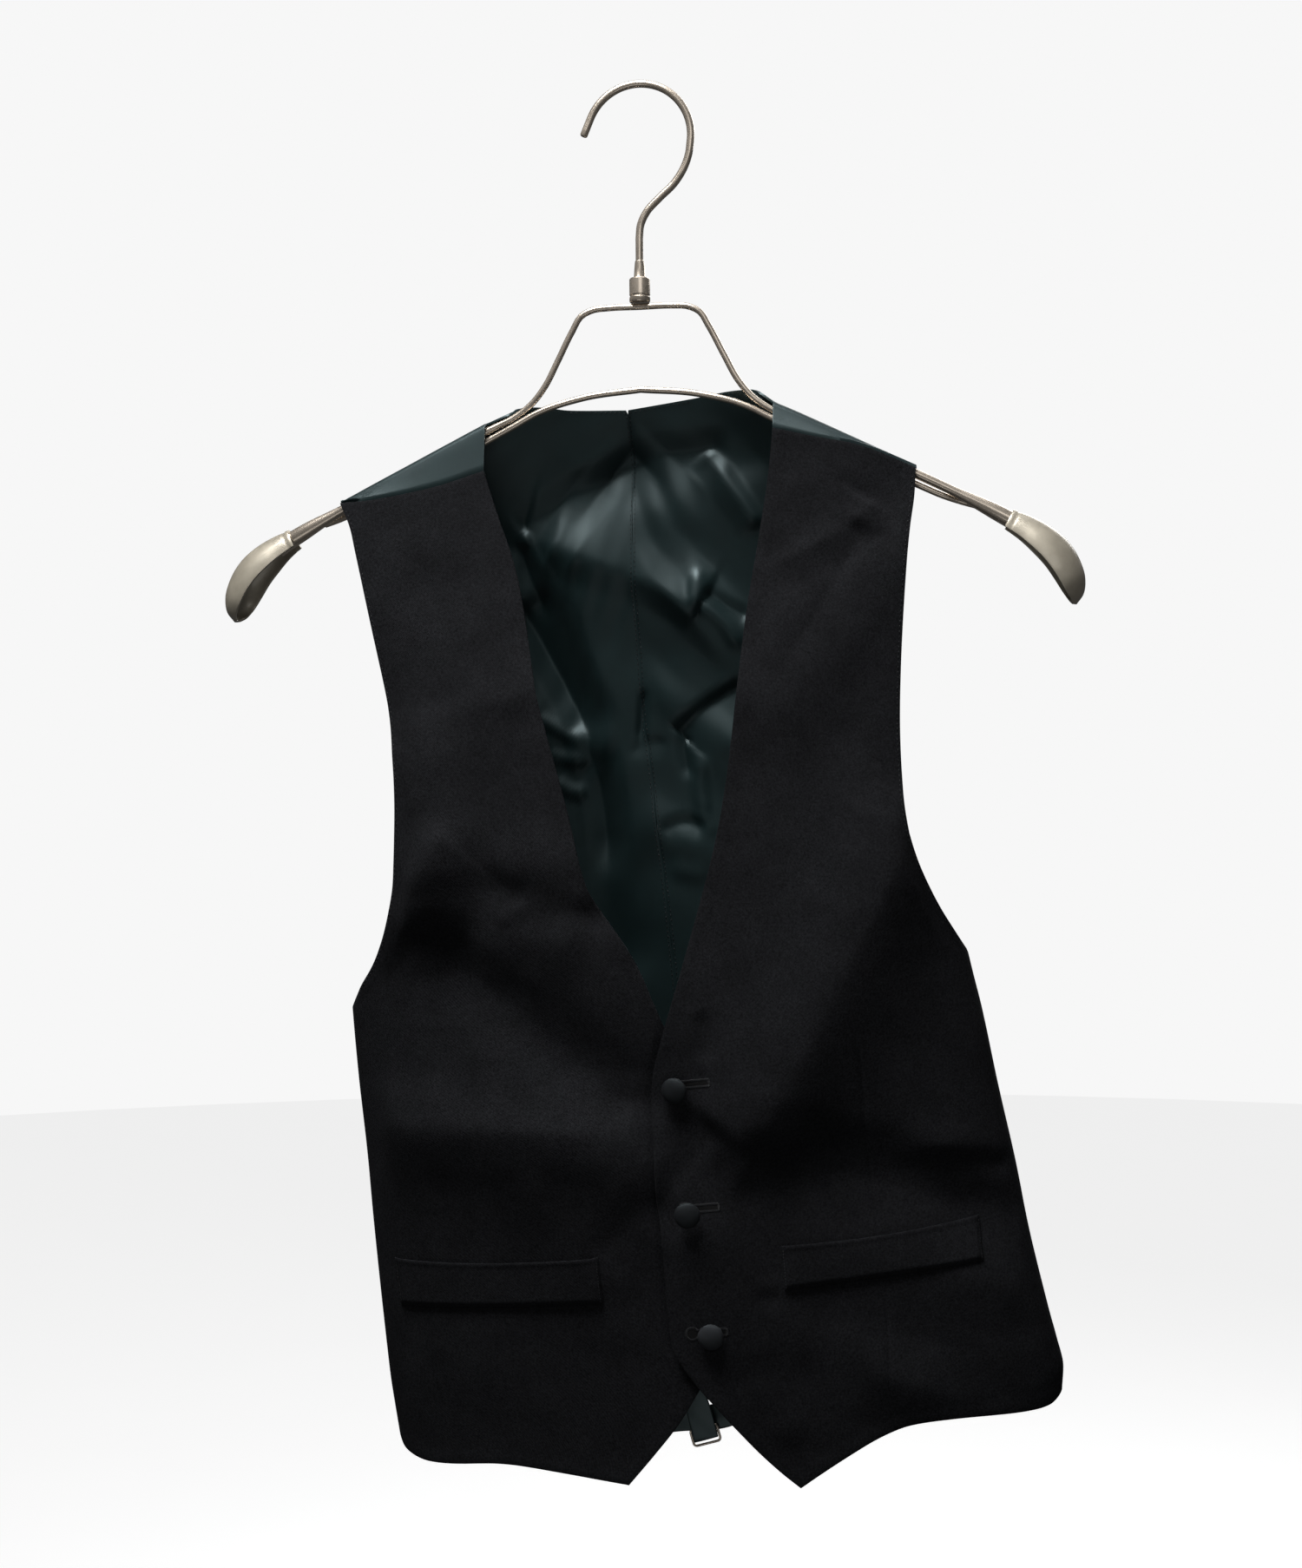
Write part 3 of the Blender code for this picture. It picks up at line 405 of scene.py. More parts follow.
def settle(thing, name, material, slot, replaced=()):
    """Names a finished piece, gives it its finish and says what it rides on and stands for."""
    thing.name = name
    thing.data.name = name
    thing.data.materials.clear()
    for one in material if isinstance(material, (list, tuple)) else (material,):
        thing.data.materials.append(one)
    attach(thing, BODY)
    if replaced:
        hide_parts(*replaced)
    return thing


# --- finishes -------------------------------------------------------------------------------------


class Nodes:
    """A material's node tree, with short calls to add and join nodes."""

    def __init__(self, name):
        self.material = bpy.data.materials.get(name)
        self.new = self.material is None
        if self.new:
            self.material = bpy.data.materials.new(name)
            self.material.use_nodes = True
        self.tree = self.material.node_tree
        self.shader = self.tree.nodes["Principled BSDF"]
        self.where = self.add("ShaderNodeTexCoord") if self.new else None

    def add(self, kind, **values):
        node = self.tree.nodes.new(kind)
        for key, value in values.items():
            if hasattr(node, key):
                setattr(node, key, value)
            else:
                node.inputs[key.replace("_", " ")].default_value = value
        return node

    def join(self, source, output, target, socket):
        self.tree.links.new(source.outputs[output], target.inputs[socket])

    def ramp(self, source, low, high, start=0.35, end=0.65):
        node = self.add("ShaderNodeValToRGB")
        node.color_ramp.elements[0].position = start
        node.color_ramp.elements[0].color = (*low, 1.0)
        node.color_ramp.elements[1].position = end
        node.color_ramp.elements[1].color = (*high, 1.0)
        self.join(source, "Fac", node, "Fac")
        return node

    def bump(self, source, distance, strength, under=None):
        node = self.add("ShaderNodeBump", Distance=distance, Strength=strength)
        self.join(source, "Fac", node, "Height")
        if under:
            self.join(under, "Normal", node, "Normal")
        self.join(node, "Normal", self.shader, "Normal")
        return node

    def noise(self, scale, detail, roughness=0.5, source=None, output="Object"):
        """Noise over the object's own places, or over those that another node gives."""
        node = self.add("ShaderNodeTexNoise", Scale=scale, Detail=detail, Roughness=roughness)
        self.join(source or self.where, output, node, "Vector")
        return node

    def paint(self, source, colour, low, high):
        """The base colour, from one share of it to another by a noise."""
        tone = self.ramp(source, scaled(colour, low), scaled(colour, high))
        self.join(tone, "Color", self.shader, "Base Color")

    def set(self, **values):
        for key, value in values.items():
            self.shader.inputs[key.replace("_", " ")].default_value = value


def scaled(colour, share):
    """A share of a colour, each channel being 1 at most."""
    return tuple(min(1.0, channel * share) for channel in colour)


def wool_finish(name, colour):
    """Black worsted: a twill too fine to see one by one, under a slight nap."""
    made = Nodes(name)
    if not made.new:
        return made.material
    tone = made.ramp(made.noise(55.0, 5.0, 0.62), scaled(colour, 0.86), scaled(colour, 1.16))
    nap = made.noise(950.0, 3.0, 0.7)
    grain = made.ramp(nap, (0.45, 0.45, 0.45), (1.7, 1.7, 1.7), 0.3, 0.7)
    colours = made.add("ShaderNodeMix", data_type="RGBA", blend_type="MULTIPLY")
    colours.inputs["Factor"].default_value = 1.0
    made.join(tone, "Color", colours, 6)
    made.join(grain, "Color", colours, 7)
    made.join(colours, 2, made.shader, "Base Color")
    twill = made.add(
        "ShaderNodeTexWave", Scale=420.0, Distortion=1.2, Detail=2.0, bands_direction="DIAGONAL"
    )
    made.join(made.where, "UV", twill, "Vector")
    made.bump(nap, 0.0003, 0.35, made.bump(twill, 0.00012, 0.25))
    made.set(Roughness=0.9, Sheen_Weight=0.008, Sheen_Roughness=0.5, Specular_IOR_Level=0.05)
    made.shader.inputs["Sheen Tint"].default_value = (0.55, 0.55, 0.62, 1.0)
    return made.material


def satin_finish(name, colour, rough=0.45, rib=0.0001, shine=0.42):
    """Satin: a smooth warp face that shines, with a faint rib across it."""
    made = Nodes(name)
    if not made.new:
        return made.material
    made.paint(made.noise(40.0, 4.0, 0.6), colour, 0.85, 1.18)
    stretch = made.add("ShaderNodeMapping")
    stretch.inputs["Scale"].default_value = (1.0, 0.12, 1.0)
    made.join(made.where, "UV", stretch, "Vector")
    warp = made.noise(1500.0, 2.0, 0.6, stretch, "Vector")
    made.bump(made.noise(120.0, 4.0, 0.55), 0.0004, 0.15, made.bump(warp, rib, 0.3))
    made.set(Roughness=rough, Specular_IOR_Level=shine, Sheen_Weight=0.01, Sheen_Roughness=0.3)
    made.shader.inputs["Specular Tint"].default_value = (0.78, 0.97, 1.0, 1.0)
    return made.material


def thread_finish(name, colour):
    """Twisted thread with a soft shine."""
    made = Nodes(name)
    if not made.new:
        return made.material
    twist = made.noise(1800.0, 2.0)
    made.paint(twist, colour, 0.7, 1.3)
    made.bump(twist, 0.0001, 0.5)
    made.set(Roughness=0.6, Specular_IOR_Level=0.2)
    return made.material


def metal_finish(name, colour, metallic, rough, coat):
    """Warm plating with faint wear and drawing marks."""
    made = Nodes(name)
    if not made.new:
        return made.material
    wear = made.noise(70.0, 6.0, 0.65)
    made.paint(wear, colour, 0.85, 1.1)
    shine = made.add("ShaderNodeMapRange", To_Min=rough * 0.8, To_Max=rough * 1.25)
    made.join(wear, "Fac", shine, "Value")
    made.join(shine, "Result", made.shader, "Roughness")
    made.bump(made.noise(900.0, 2.0), 0.00002, 0.15)
    made.set(Metallic=metallic, Coat_Weight=coat, Coat_Roughness=0.12)
    return made.material


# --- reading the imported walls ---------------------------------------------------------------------


def sides_of_wall(shape, count):
    """Sides of a packed wall, as face numbers: groups with that many points which a sharp rim parts."""
    shape.faces.ensure_lookup_table()
    joins = [(e.calc_face_angle(math.pi), [f.index for f in e.link_faces]) for e in shape.edges]
    sides = []
    for angle in RIM_ANGLES:
        near = [[] for _ in shape.faces]
        for turn, faces in joins:
            if turn < math.radians(angle):
                near[faces[0]].append(faces[1])
                near[faces[1]].append(faces[0])
        free = [True] * len(near)
        for first in range(len(near)):
            group = [first] if free[first] else []
            free[first] = False
            for face in group:
                found = [other for other in near[face] if free[other]]
                for other in found:
                    free[other] = False
                group += found
            points = {vertex.index for face in group for vertex in shape.faces[face].verts}
            if len(points) == count and set(group) not in sides:
                sides.append(set(group))
    return sides


def rim_loop(shape, group):
    """The points round a side, in order, and every point's neighbours, as point numbers."""
    near = {}
    following = {}
    for face in sorted(group):
        for edge in shape.faces[face].edges:
            a, b = (vertex.index for vertex in edge.verts)
            near.setdefault(a, set()).add(b)
            near.setdefault(b, set()).add(a)
            if sum(f.index in group for f in edge.link_faces) == 1:
                following.setdefault(a, []).append(b)
                following.setdefault(b, []).append(a)
    start = min(following)
    loop = [start]
    previous, here = start, following[start][0]
    while here != start:
        loop.append(here)
        onward = [v for v in following[here] if v != previous][0]
        previous, here = here, onward
    return loop, near


def turned_loops(places, loop, across, down):
    """The loop from the outer top corner along the top and down the inner edge, likeliest first."""
    points = places[loop]
    steps = unit(np.roll(points, -1, 0) - points)
    turning = np.arccos(np.clip((steps * np.roll(steps, 1, 0)).sum(1), -1, 1))
    size = len(loop)
    corners = np.array([0, across, across + down, 2 * across + down])
    found = []
    for way in (1, -1):
        for start in range(size):
            order = (start + way * np.arange(size)) % size
            top = points[order[: across + 1]]
            low = points[order[across + down : 2 * across + down + 1]]
            inner = points[order[across : across + down + 1]]
            outer = points[order[2 * across + down :]]
            upright = top[:, 2].mean() > low[:, 2].mean()
            outwards = abs(outer[:, 0]).mean() > abs(inner[:, 0]).mean()
            if upright and outwards:
                found.append((turning[order[corners]].sum(), [loop[index] for index in order]))
    return [order for _, order in sorted(found, key=lambda pair: -pair[0])]


def filled_grid(loop, near, across, down):
    """Point numbers in rows, walked inwards from the loop, or nothing if it is turned wrongly."""
    rows = [[None] * (across + 1) for _ in range(down + 1)]
    rows[0] = loop[: across + 1]
    for j in range(1, down + 1):
        rows[j][0] = loop[-j]
        rows[j][across] = loop[across + j]
    rows[down] = loop[across + down : 2 * across + down + 1][::-1]
    for j in range(down):
        for i in range(across):
            known = near[rows[j][i + 1]] & near[rows[j + 1][i]]
            found = known - {rows[j][i]}
            wanted = rows[j + 1][i + 1]
            if len(found) != 1 or wanted not in (None, *found):
                return None
            rows[j + 1][i + 1] = found.pop()
    return rows


def read_wall(node, cells, thickness, outward):
    """Rows of points of a packed wall's outer side, from its top and its outer edge on."""
    across, down = cells
    shape = bmesh.new()
    shape.from_mesh(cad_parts[node].data)
    bmesh.ops.remove_doubles(shape, verts=shape.verts, dist=WELD)
    places = np.array([vertex.co for vertex in shape.verts])
    leans = []
    for group in sides_of_wall(shape, (across + 1) * (down + 1)):
        lean = sum(shape.faces[f].normal.dot(outward) * shape.faces[f].calc_area() for f in group)
        leans.append((lean, group))
    for lean, group in sorted(leans, key=lambda pair: -pair[0]):
        loop, near = rim_loop(shape, group)
        if len(loop) != 2 * (across + down):
            continue
        for turned in turned_loops(places, loop, across, down)[:8]:
            rows = filled_grid(turned, near, across, down)
            if rows:
                shape.free()
                grid = places[np.array(rows)]
                return grid if lean > 0 else grid + normals_of(grid, outward) * thickness
    raise RuntimeError(f"{node} has no side of {across} by {down} cells")


def normals_of(grid, outward):
    """Unit normals of a grid of points, on the side that its middle shows outwards."""
    normal = unit(np.cross(np.gradient(grid, axis=1), np.gradient(grid, axis=0)))
    middle = normal[grid.shape[0] // 2, grid.shape[1] // 2]
    return normal if middle @ np.array(outward) > 0 else -normal


# --- fine cloth -----------------------------------------------------------------------------------


def run_lengths(grid):
    """Mean distance down the rows of a grid, from its first row on."""
    steps = np.linalg.norm(np.diff(grid, axis=0), axis=2).mean(axis=1)
    return np.concatenate([[0.0], np.cumsum(steps)])


def smooth_down(grid, count, corners_from=None, stiff=0.004):
    """The grid with a new number of rows, read from smooth lines down it that keep its corners."""
    lengths = run_lengths(grid)
    cost = lengths + stiff * np.arange(len(grid))
    places = np.interp(np.linspace(0, cost[-1], count + 1), cost, lengths)
    row = np.clip(np.searchsorted(lengths, places, side="right") - 1, 0, len(grid) - 2)
    gap = np.diff(lengths)
    step = np.diff(grid, axis=0) / gap[:, None, None]
    before = np.concatenate([step[:1], step])
    after = np.concatenate([step, step[-1:]])
    weight = np.concatenate([[1.0], gap[1:] / (gap[:-1] + gap[1:]), [0.0]])[:, None, None]
    slope = before * weight + after * (1 - weight)
    corner = np.zeros(grid.shape[:2])
    if corners_from is not None:
        turn = np.degrees(np.arccos(np.clip((unit(before) * unit(after)).sum(axis=2), -1, 1)))
        corner = np.clip((turn - CORNER_TURN) / CORNER_SPAN, 0, 1)
        corner[:corners_from] = 0
    corner = corner[..., None]
    leaving = slope * (1 - corner) + after * corner
    coming = slope * (1 - corner) + before * corner
    h = gap[row][:, None, None]
    t = ((places - lengths[row]) / gap[row])[:, None, None]
    return (
        grid[row] * (2 * t**3 - 3 * t**2 + 1)
        + leaving[row] * h * (t**3 - 2 * t**2 + t)
        + grid[row + 1] * (3 * t**2 - 2 * t**3)
        + coming[row + 1] * h * (t**3 - t**2)
    )


def fine_grid(grid, columns, rows, corners_from=None):
    """A packed wall's grid made fine both ways."""
    wide = smooth_down(grid.transpose(1, 0, 2), columns).transpose(1, 0, 2)
    return smooth_down(wide, rows, corners_from)


def crease_rise(grid, creases):
    """How far all the creases of a table move each point of a grid out of its face, in metres."""
    across = grid[..., 0] / MM
    drop = -grid[..., 2] / MM
    total = np.zeros(across.shape)
    share = np.linspace(0.0, 1.0, 25)
    for x0, d0, x1, d1, x2, d2, rise, above, below, fade_in, fade_out, crest in creases:
        reach = 1.2 * max(above, below)
        near = (across > min(x0, x1, x2) - reach) & (across < max(x0, x1, x2) + reach)
        near &= (drop > min(d0, d1, d2) - reach) & (drop < max(d0, d1, d2) + reach)
        if not near.any():
            continue
        start, middle, end = np.array([[x0, d0], [x1, d1], [x2, d2]], dtype=float)
        lean, bend = 4 * middle - 3 * start - end, 2 * start - 4 * middle + 2 * end
        place = np.stack([across[near], drop[near]], axis=1)
        path = start + lean * share[:, None] + bend * share[:, None] ** 2
        at = share[np.linalg.norm(place[:, None] - path[None], axis=2).argmin(axis=1)]
        for _ in range(4):
            miss = start + lean * at[:, None] + bend * at[:, None] ** 2 - place
            run = lean + 2 * bend * at[:, None]
            turn = (run**2).sum(1) + 2 * (miss * bend).sum(1)
            step = (miss * run).sum(1) / np.maximum(turn, 0.2 * (run**2).sum(1))
            at = np.clip(at - np.clip(step, -0.04, 0.04), 0, 1)
        miss = place - start - lean * at[:, None] - bend * at[:, None] ** 2
        run = unit(lean + 2 * bend * at[:, None])
        away = np.linalg.norm(miss, axis=1)
        side = (run[:, 0] * miss[:, 1] - run[:, 1] * miss[:, 0]) * (1 if x2 >= x0 else -1)
        width = above + (below - above) * ease(0.5 + side / (2 * crest))
        slope = (np.sqrt(away**2 + crest**2) - crest) / width
        fade = ease(at / fade_in) * ease((1 - at) / fade_out)
        total[near] += rise * MM * fade * (np.clip(1 - slope, 0, 1) ** 1.3)
    return total


def edge_distance(grid, sides, bottom=True):
    """Distance of each point from the nearest free edge: its first or last column, or its last row."""
    from_first = runs_across(grid)
    nearest = np.full(grid.shape[:2], 1.0)
    if "first" in sides:
        nearest = np.minimum(nearest, from_first)
    if "last" in sides:
        nearest = np.minimum(nearest, from_first[:, -1:] - from_first)
    if bottom:
        down = np.linalg.norm(np.diff(grid, axis=0), axis=2)
        from_top = np.concatenate([np.zeros((1, grid.shape[1])), down.cumsum(axis=0)], axis=0)
        nearest = np.minimum(nearest, from_top[-1:] - from_top)
    return nearest


def shell(name, grid, outward, thickness, rim=0.45 * MM):
    """A wall through a grid of outer points, its thickness inwards and its rim rounded."""
    rows, columns = grid.shape[:2]
    index = np.arange(rows * columns).reshape(rows, columns)
    corners = (index[:-1, :-1], index[1:, :-1], index[1:, 1:], index[:-1, 1:])
    quads = np.stack(corners, axis=-1).reshape(-1, 4)
    j, i = rows // 2, columns // 2
    middle = grid[j - 1 : j + 1, i - 1 : i + 1]
    facing = np.cross(middle[1, 0] - middle[0, 0], middle[1, 1] - middle[0, 0])
    if facing @ np.array(outward) < 0:
        quads = quads[:, ::-1]
    mesh = bpy.data.meshes.new(name)
    mesh.from_pydata(grid.reshape(-1, 3), [], quads.tolist())
    wide = run_lengths(grid.transpose(1, 0, 2))
    flat = np.broadcast_arrays(wide[None, :], -run_lengths(grid)[:, None])
    flat = np.stack(flat, axis=-1).reshape(-1, 2)
    layer = mesh.uv_layers.new(name="cloth")
    layer.data.foreach_set("uv", flat[quads.reshape(-1)].reshape(-1).astype(np.float32))
    mesh.shade_smooth()
    thing = new_object(name, mesh)
    solid = thing.modifiers.new("thickness", "SOLIDIFY")
    solid.thickness = thickness
    solid.offset = -1.0
    solid.material_offset = 1
    solid.material_offset_rim = 0
    bevel = thing.modifiers.new("rim", "BEVEL")
    bevel.limit_method = "ANGLE"
    bevel.angle_limit = math.radians(60)
    bevel.width = rim
    bevel.segments = 2
    thing.data.materials.append(None)
    thing.data.materials.append(None)
    apply_modifiers(thing)
    return thing


# Fine grids of the sewn panels, and the trees that later pieces are laid on.
PANELS = {}
TREES = {}


def keep_panel(name, grid, piece):
    """Keeps a panel for the pieces that are laid on it."""
    PANELS[name] = grid
    mesh = piece.data
    places = [vertex.co for vertex in mesh.vertices]
    TREES[name] = BVHTree.FromPolygons(places, [face.vertices for face in mesh.polygons])


def on_cloth(name, across, drop, face):
    """The place and the normal of a panel's outer side at an across and a drop."""
    start = Vector((across * MM, face * 0.3, -drop * MM))
    place, normal, _, _ = TREES[name].ray_cast(start, Vector((0, -face, 0)))
    if place is None:
        raise RuntimeError(f"nothing of {name} is at {across:.1f}, {drop:.1f}")
    return np.array(place), np.array(normal)


def dart_columns(grid, dart, pinch=0.55 * MM, depth=0.3 * MM):
    """Draws one column of a grid onto a dart's seam, pinches its neighbours to it, and sinks it."""
    across, drop = np.array(dart).T
    run = runs_across(grid)
    order = np.sign(grid[0, -1, 0] - grid[0, 0, 0])
    column = grid.shape[1] // 2
    index = np.arange(grid.shape[1])
    for _ in range(3):
        at = -grid[:, column, 2] / MM
        inside = ease((at - drop[0]) / 10.0) * ease((drop[-1] - at) / 10.0)
        seam = np.interp(at, drop, across) * MM
        rows = zip(seam, grid, run)
        place = np.array([np.interp(order * x, order * row[:, 0], s) for x, row, s in rows])
        live = inside > 0
        column = int(round(np.mean([np.interp(p, s, index) for p, s in zip(place[live], run[live])])))
    fade = ease((at - drop[0] + 30.0) / 30.0) * ease((drop[-1] + 30.0 - at) / 30.0)
    here = run[:, column]
    there = here + (place - here) * fade
    moved = np.array([np.interp(s, (0, h, s[-1]), (0, t, s[-1])) for s, h, t in zip(run, here, there)])
    for side, gap in ((-1, pinch), (1, pinch)):
        wanted = moved[:, column] + side * gap
        moved[:, column + side] += (wanted - moved[:, column + side]) * inside
    new = np.stack([read_at(m, s, row) for m, s, row in zip(moved, run, grid)])
    sink = np.zeros(grid.shape[:2])
    sink[:, column] = -depth * inside
    return new, sink


def front_rise(name, grid):
    """The creases of a front. The strip of the right one that the left one laps over follows it."""
    outer = ease(edge_distance(grid, ("first",), False) / CALM_EDGE)
    if name == "front_left":
        return crease_rise(grid, LEFT_CREASES) * outer
    lapped = 1 - ease((edge_distance(grid, ("last",), False) - LAP) / CALM_EDGE)
    lapped *= ease((-grid[..., 2] / MM - CROSSING + 12) / 12.0)
    own, over = crease_rise(grid, RIGHT_CREASES), crease_rise(grid, LEFT_CREASES)
    return (own * (1 - lapped) + over * lapped) * outer


def pressed_under(grid, edge):
    """How far a front is pressed in beside and beneath the edge that laps over it."""
    beside = np.interp(-grid[..., 2], -edge[:, 2], edge[:, 0]) - grid[..., 0]
    return PRESSED * (1 - ease((beside - 0.4 * MM) / (3.2 * MM)))


def sewn_front(name, darts):
    """One wool front, with its creases, darts and turned edges."""
    cloth, finishes, _ = settings()
    grid = fine_grid(read_wall(name, FRONT_CELLS, cloth.wool, FORWARDS), cloth.columns, cloth.rows, 1)
    sink = np.zeros(grid.shape[:2])
    for dart in darts:
        grid, one = dart_columns(grid, DARTS[dart])
        sink += one
    inside = edge_distance(grid, ("first", "last"))
    rise = front_rise(name, grid) + sink
    if name == "front_right":
        rise -= pressed_under(grid, PANELS["front_left"][:, -1])
    rise -= TURNING * ease((inside - cloth.turned_edge) / (2.5 * MM))
    grid = grid + normals_of(grid, FORWARDS) * rise[..., None]
    piece = shell(name + "_cloth", grid, FORWARDS, cloth.wool)
    wool = wool_finish("black worsted", finishes.wool)
    lining = satin_finish("lining satin", finishes.satin)
    settle(piece, name + "_cloth", (wool, lining), "wool", (name,))
    keep_panel(name, grid, piece)


def at_height(column, height):
    """Points of a column, from its top down, read at other heights."""
    return read_at(-height, -column[:, 2], column)


def tucked_back(grid, front, wool):
    """A back half with a row let in under the wool at the shoulder and a column at its edge."""
    inwards = -normals_of(front, FORWARDS)
    under = front + inwards * (wool + UNDER_WOOL)
    first = under[1]
    share = np.linspace(0, first.shape[0] - 1, grid.shape[1])
    row = read_at(share, np.arange(first.shape[0]), first)
    grid = np.concatenate([row[None], grid])
    edge = front[:, 0]
    lowest_arm = UNDERARM[name_side(grid)]
    below = ease((-grid[:, 0, 2] / MM - lowest_arm) / 6.0)[:, None]
    seam = at_height(under[:, 1], grid[:, 0, 2])
    turned = grid[:, 0] - normals_of(grid, BACKWARDS)[:, 0] * 0.5 * MM
    column = turned * (1 - below) + seam * below
    column[0] = row[0]
    return np.concatenate([column[:, None], grid], axis=1)


def name_side(grid):
    """Which half of the garment a grid is in."""
    return "right" if grid[:, :, 0].mean() < 0 else "left"


class SewFronts(bpy.types.Operator):
    """Sews the two wool fronts, with their folds, darts and turned edges"""

    bl_idname = "waistcoat.sew_fronts"
    bl_label = "Fronts"

    def execute(self, context):
        sewn_front("front_left", ("dart_left_upper", "dart_left_lower"))
        sewn_front("front_right", ("dart_right_upper", "dart_right_lower"))
        return {"FINISHED"}


class SewBacks(bpy.types.Operator):
    """Sews the two satin halves of the back, over the hanger's arms and down to the hem"""

    bl_idname = "waistcoat.sew_backs"
    bl_label = "Back"

    def execute(self, context):
        cloth, finishes, _ = settings()
        grids = {}
        seams = {}
        for side in ("right", "left"):
            coarse = read_wall("back_" + side, BACK_CELLS, cloth.satin, BACKWARDS)
            grid = fine_grid(coarse, cloth.columns, cloth.rows + 24, BACK_WRAP_ROWS + 1)
            neckline = run_lengths(coarse)[NECKLINE_ROWS] - 0.5 * MM
            first = int(np.searchsorted(run_lengths(grid), neckline))
            grids[side] = grid
            seams[side] = grid[first:, -1]
        right = grids["right"]
        gap = np.zeros((len(right), 3))
        gap[-len(seams["right"]) :] = at_height(seams["left"], seams["right"][:, 2]) - seams["right"]
        for back, share in ((2, 0.3), (1, 0.65), (0, 1.0)):
            right[:, -1 - back] += gap * share
        for side, grid in grids.items():
            name = "back_" + side
            hung = ease((run_lengths(grid) - SMOOTH_YOKE) / (20 * MM))[:, None]
            rise = crease_rise(grid, BACK_CREASES) * hung
            rise = rise * ease(edge_distance(grid, ("first",)) / CALM_EDGE)
            grid = grid + np.array(BACKWARDS) * rise[..., None]
            grid = tucked_back(grid, PANELS["front_" + side], cloth.wool)
            piece = shell(name + "_cloth", grid, BACKWARDS, cloth.satin, 0.25 * MM)
            satin = satin_finish("back satin", finishes.satin)
            lining = satin_finish("lining satin", finishes.satin)
            settle(piece, name + "_cloth", (satin, lining), "satin", (name,))
            keep_panel(name, grid, piece)
        return {"FINISHED"}


# --- sewing ---------------------------------------------------------------------------------------


# One stitch: how far along it, how thick and how far out of the cloth, in shares of its length,
# its thread's radius and that radius.
STITCH_RINGS = [
    (-0.5, 0.5, -0.6), (-0.34, 0.95, 0.1), (0.0, 1.0, 0.35), (0.34, 0.95, 0.1), (0.5, 0.5, -0.6),
]
STITCH_SIDES = 5


def stitches(name, places, along, normals, length, thread):
    """Stitches joined in one mesh, each at a place, along a direction and out by a normal."""
    turn = 2 * math.pi * np.arange(STITCH_SIDES) / STITCH_SIDES
    shape = [
        (share * length, size * thread / 2 * math.cos(t), (lift + size * math.sin(t)) * thread / 2)
        for share, size, lift in STITCH_RINGS
        for t in turn
    ]
    shape = np.array(shape)
    along = unit(along - normals * (along * normals).sum(axis=1, keepdims=True))
    side = np.cross(normals, along)
    axes = np.stack([along, side, normals], axis=1)
    points = places[:, None] + np.einsum("pk,nkc->npc", shape, axes)
    faces = []
    for ring in range(len(STITCH_RINGS) - 1):
        for k in range(STITCH_SIDES):
            a, b = ring * STITCH_SIDES + k, ring * STITCH_SIDES + (k + 1) % STITCH_SIDES
            faces.append((a, b, b + STITCH_SIDES, a + STITCH_SIDES))
    ends = (tuple(range(STITCH_SIDES))[::-1], tuple(range(len(shape) - STITCH_SIDES, len(shape))))
    every = []
    for n in range(len(places)):
        start = n * len(shape)
        every += [tuple(start + v for v in face) for face in (*faces, *ends)]
    mesh = bpy.data.meshes.new(name)
    mesh.from_pydata(points.reshape(-1, 3), [], every)
    shape = bmesh.new()
    shape.from_mesh(mesh)
    bmesh.ops.recalc_face_normals(shape, faces=shape.faces)
    shape.to_mesh(mesh)
    shape.free()
    mesh.shade_smooth()
    return new_object(name, mesh)


def evenly(points, normals, pitch):
    """Places, directions and normals at an even pitch along a line."""
    step = np.linalg.norm(np.diff(points, axis=0), axis=1)
    run = np.concatenate([[0.0], step.cumsum()])
    at = np.arange(pitch / 2, run[-1], pitch)
    ahead, behind = read_at(at + pitch * 0.3, run, points), read_at(at - pitch * 0.3, run, points)
    return read_at(at, run, points), ahead - behind, unit(read_at(at, run, normals))


def inset_line(grid, outward, first, inset, rows):
    """Points and normals a set distance in from a grid's first or last column, row by row."""
    normal = normals_of(grid, outward)
    if not first:
        grid, normal = grid[:, ::-1], normal[:, ::-1]
    run = runs_across(grid)
    places = np.array([read_at(inset, run[j], grid[j]) for j in rows])
    return places, unit(np.array([read_at(inset, run[j], normal[j]) for j in rows]))


def sew_line(name, grid, side, inset, rows, sizes, finish, inner=0.0):
    """Stitches beside a grid's first or last column, on its outer side or on the inner one."""
    outward, first = side
    pitch, length, thread = sizes
    places, outs = inset_line(grid, outward, first, inset, rows)
    if inner:
        places, outs = places - outs * inner, -outs
    places, along, outs = evenly(places, outs, pitch)
    settle(stitches(name, places, along, outs, length, thread), name, *finish)


class SewStitches(bpy.types.Operator):
    """Sews the edge stitching along the armholes and the seam down the back"""

    bl_idname = "waistcoat.sew_stitches"
    bl_label = "Stitching"

    def execute(self, context):
        cloth, finishes, _ = settings()
        thread = thread_finish("dark thread", finishes.thread)
        sizes = (cloth.stitch_pitch, cloth.stitch_length, cloth.thread)
        for side in ("right", "left"):
            grid = PANELS["front_" + side]
            rows = [j for j in range(2, len(grid)) if -grid[j, 0, 2] / MM < UNDERARM[side] - 2]
            name = f"armhole_{side}_stitches"
            sew_line(name, grid, (FORWARDS, True), ARMHOLE_INSET, rows, sizes, (thread, "wool"))
            grid = PANELS["back_" + side]
            rows = [j for j in range(40, len(grid)) if -grid[j, -1, 2] / MM < SEAM_SEEN]
            name = f"back_{side}_seam_stitches"
            finish = (thread, "satin")
            sew_line(name, grid, (BACKWARDS, False), SEAM_INSET, rows, sizes, finish, cloth.satin)
        return {"FINISHED"}


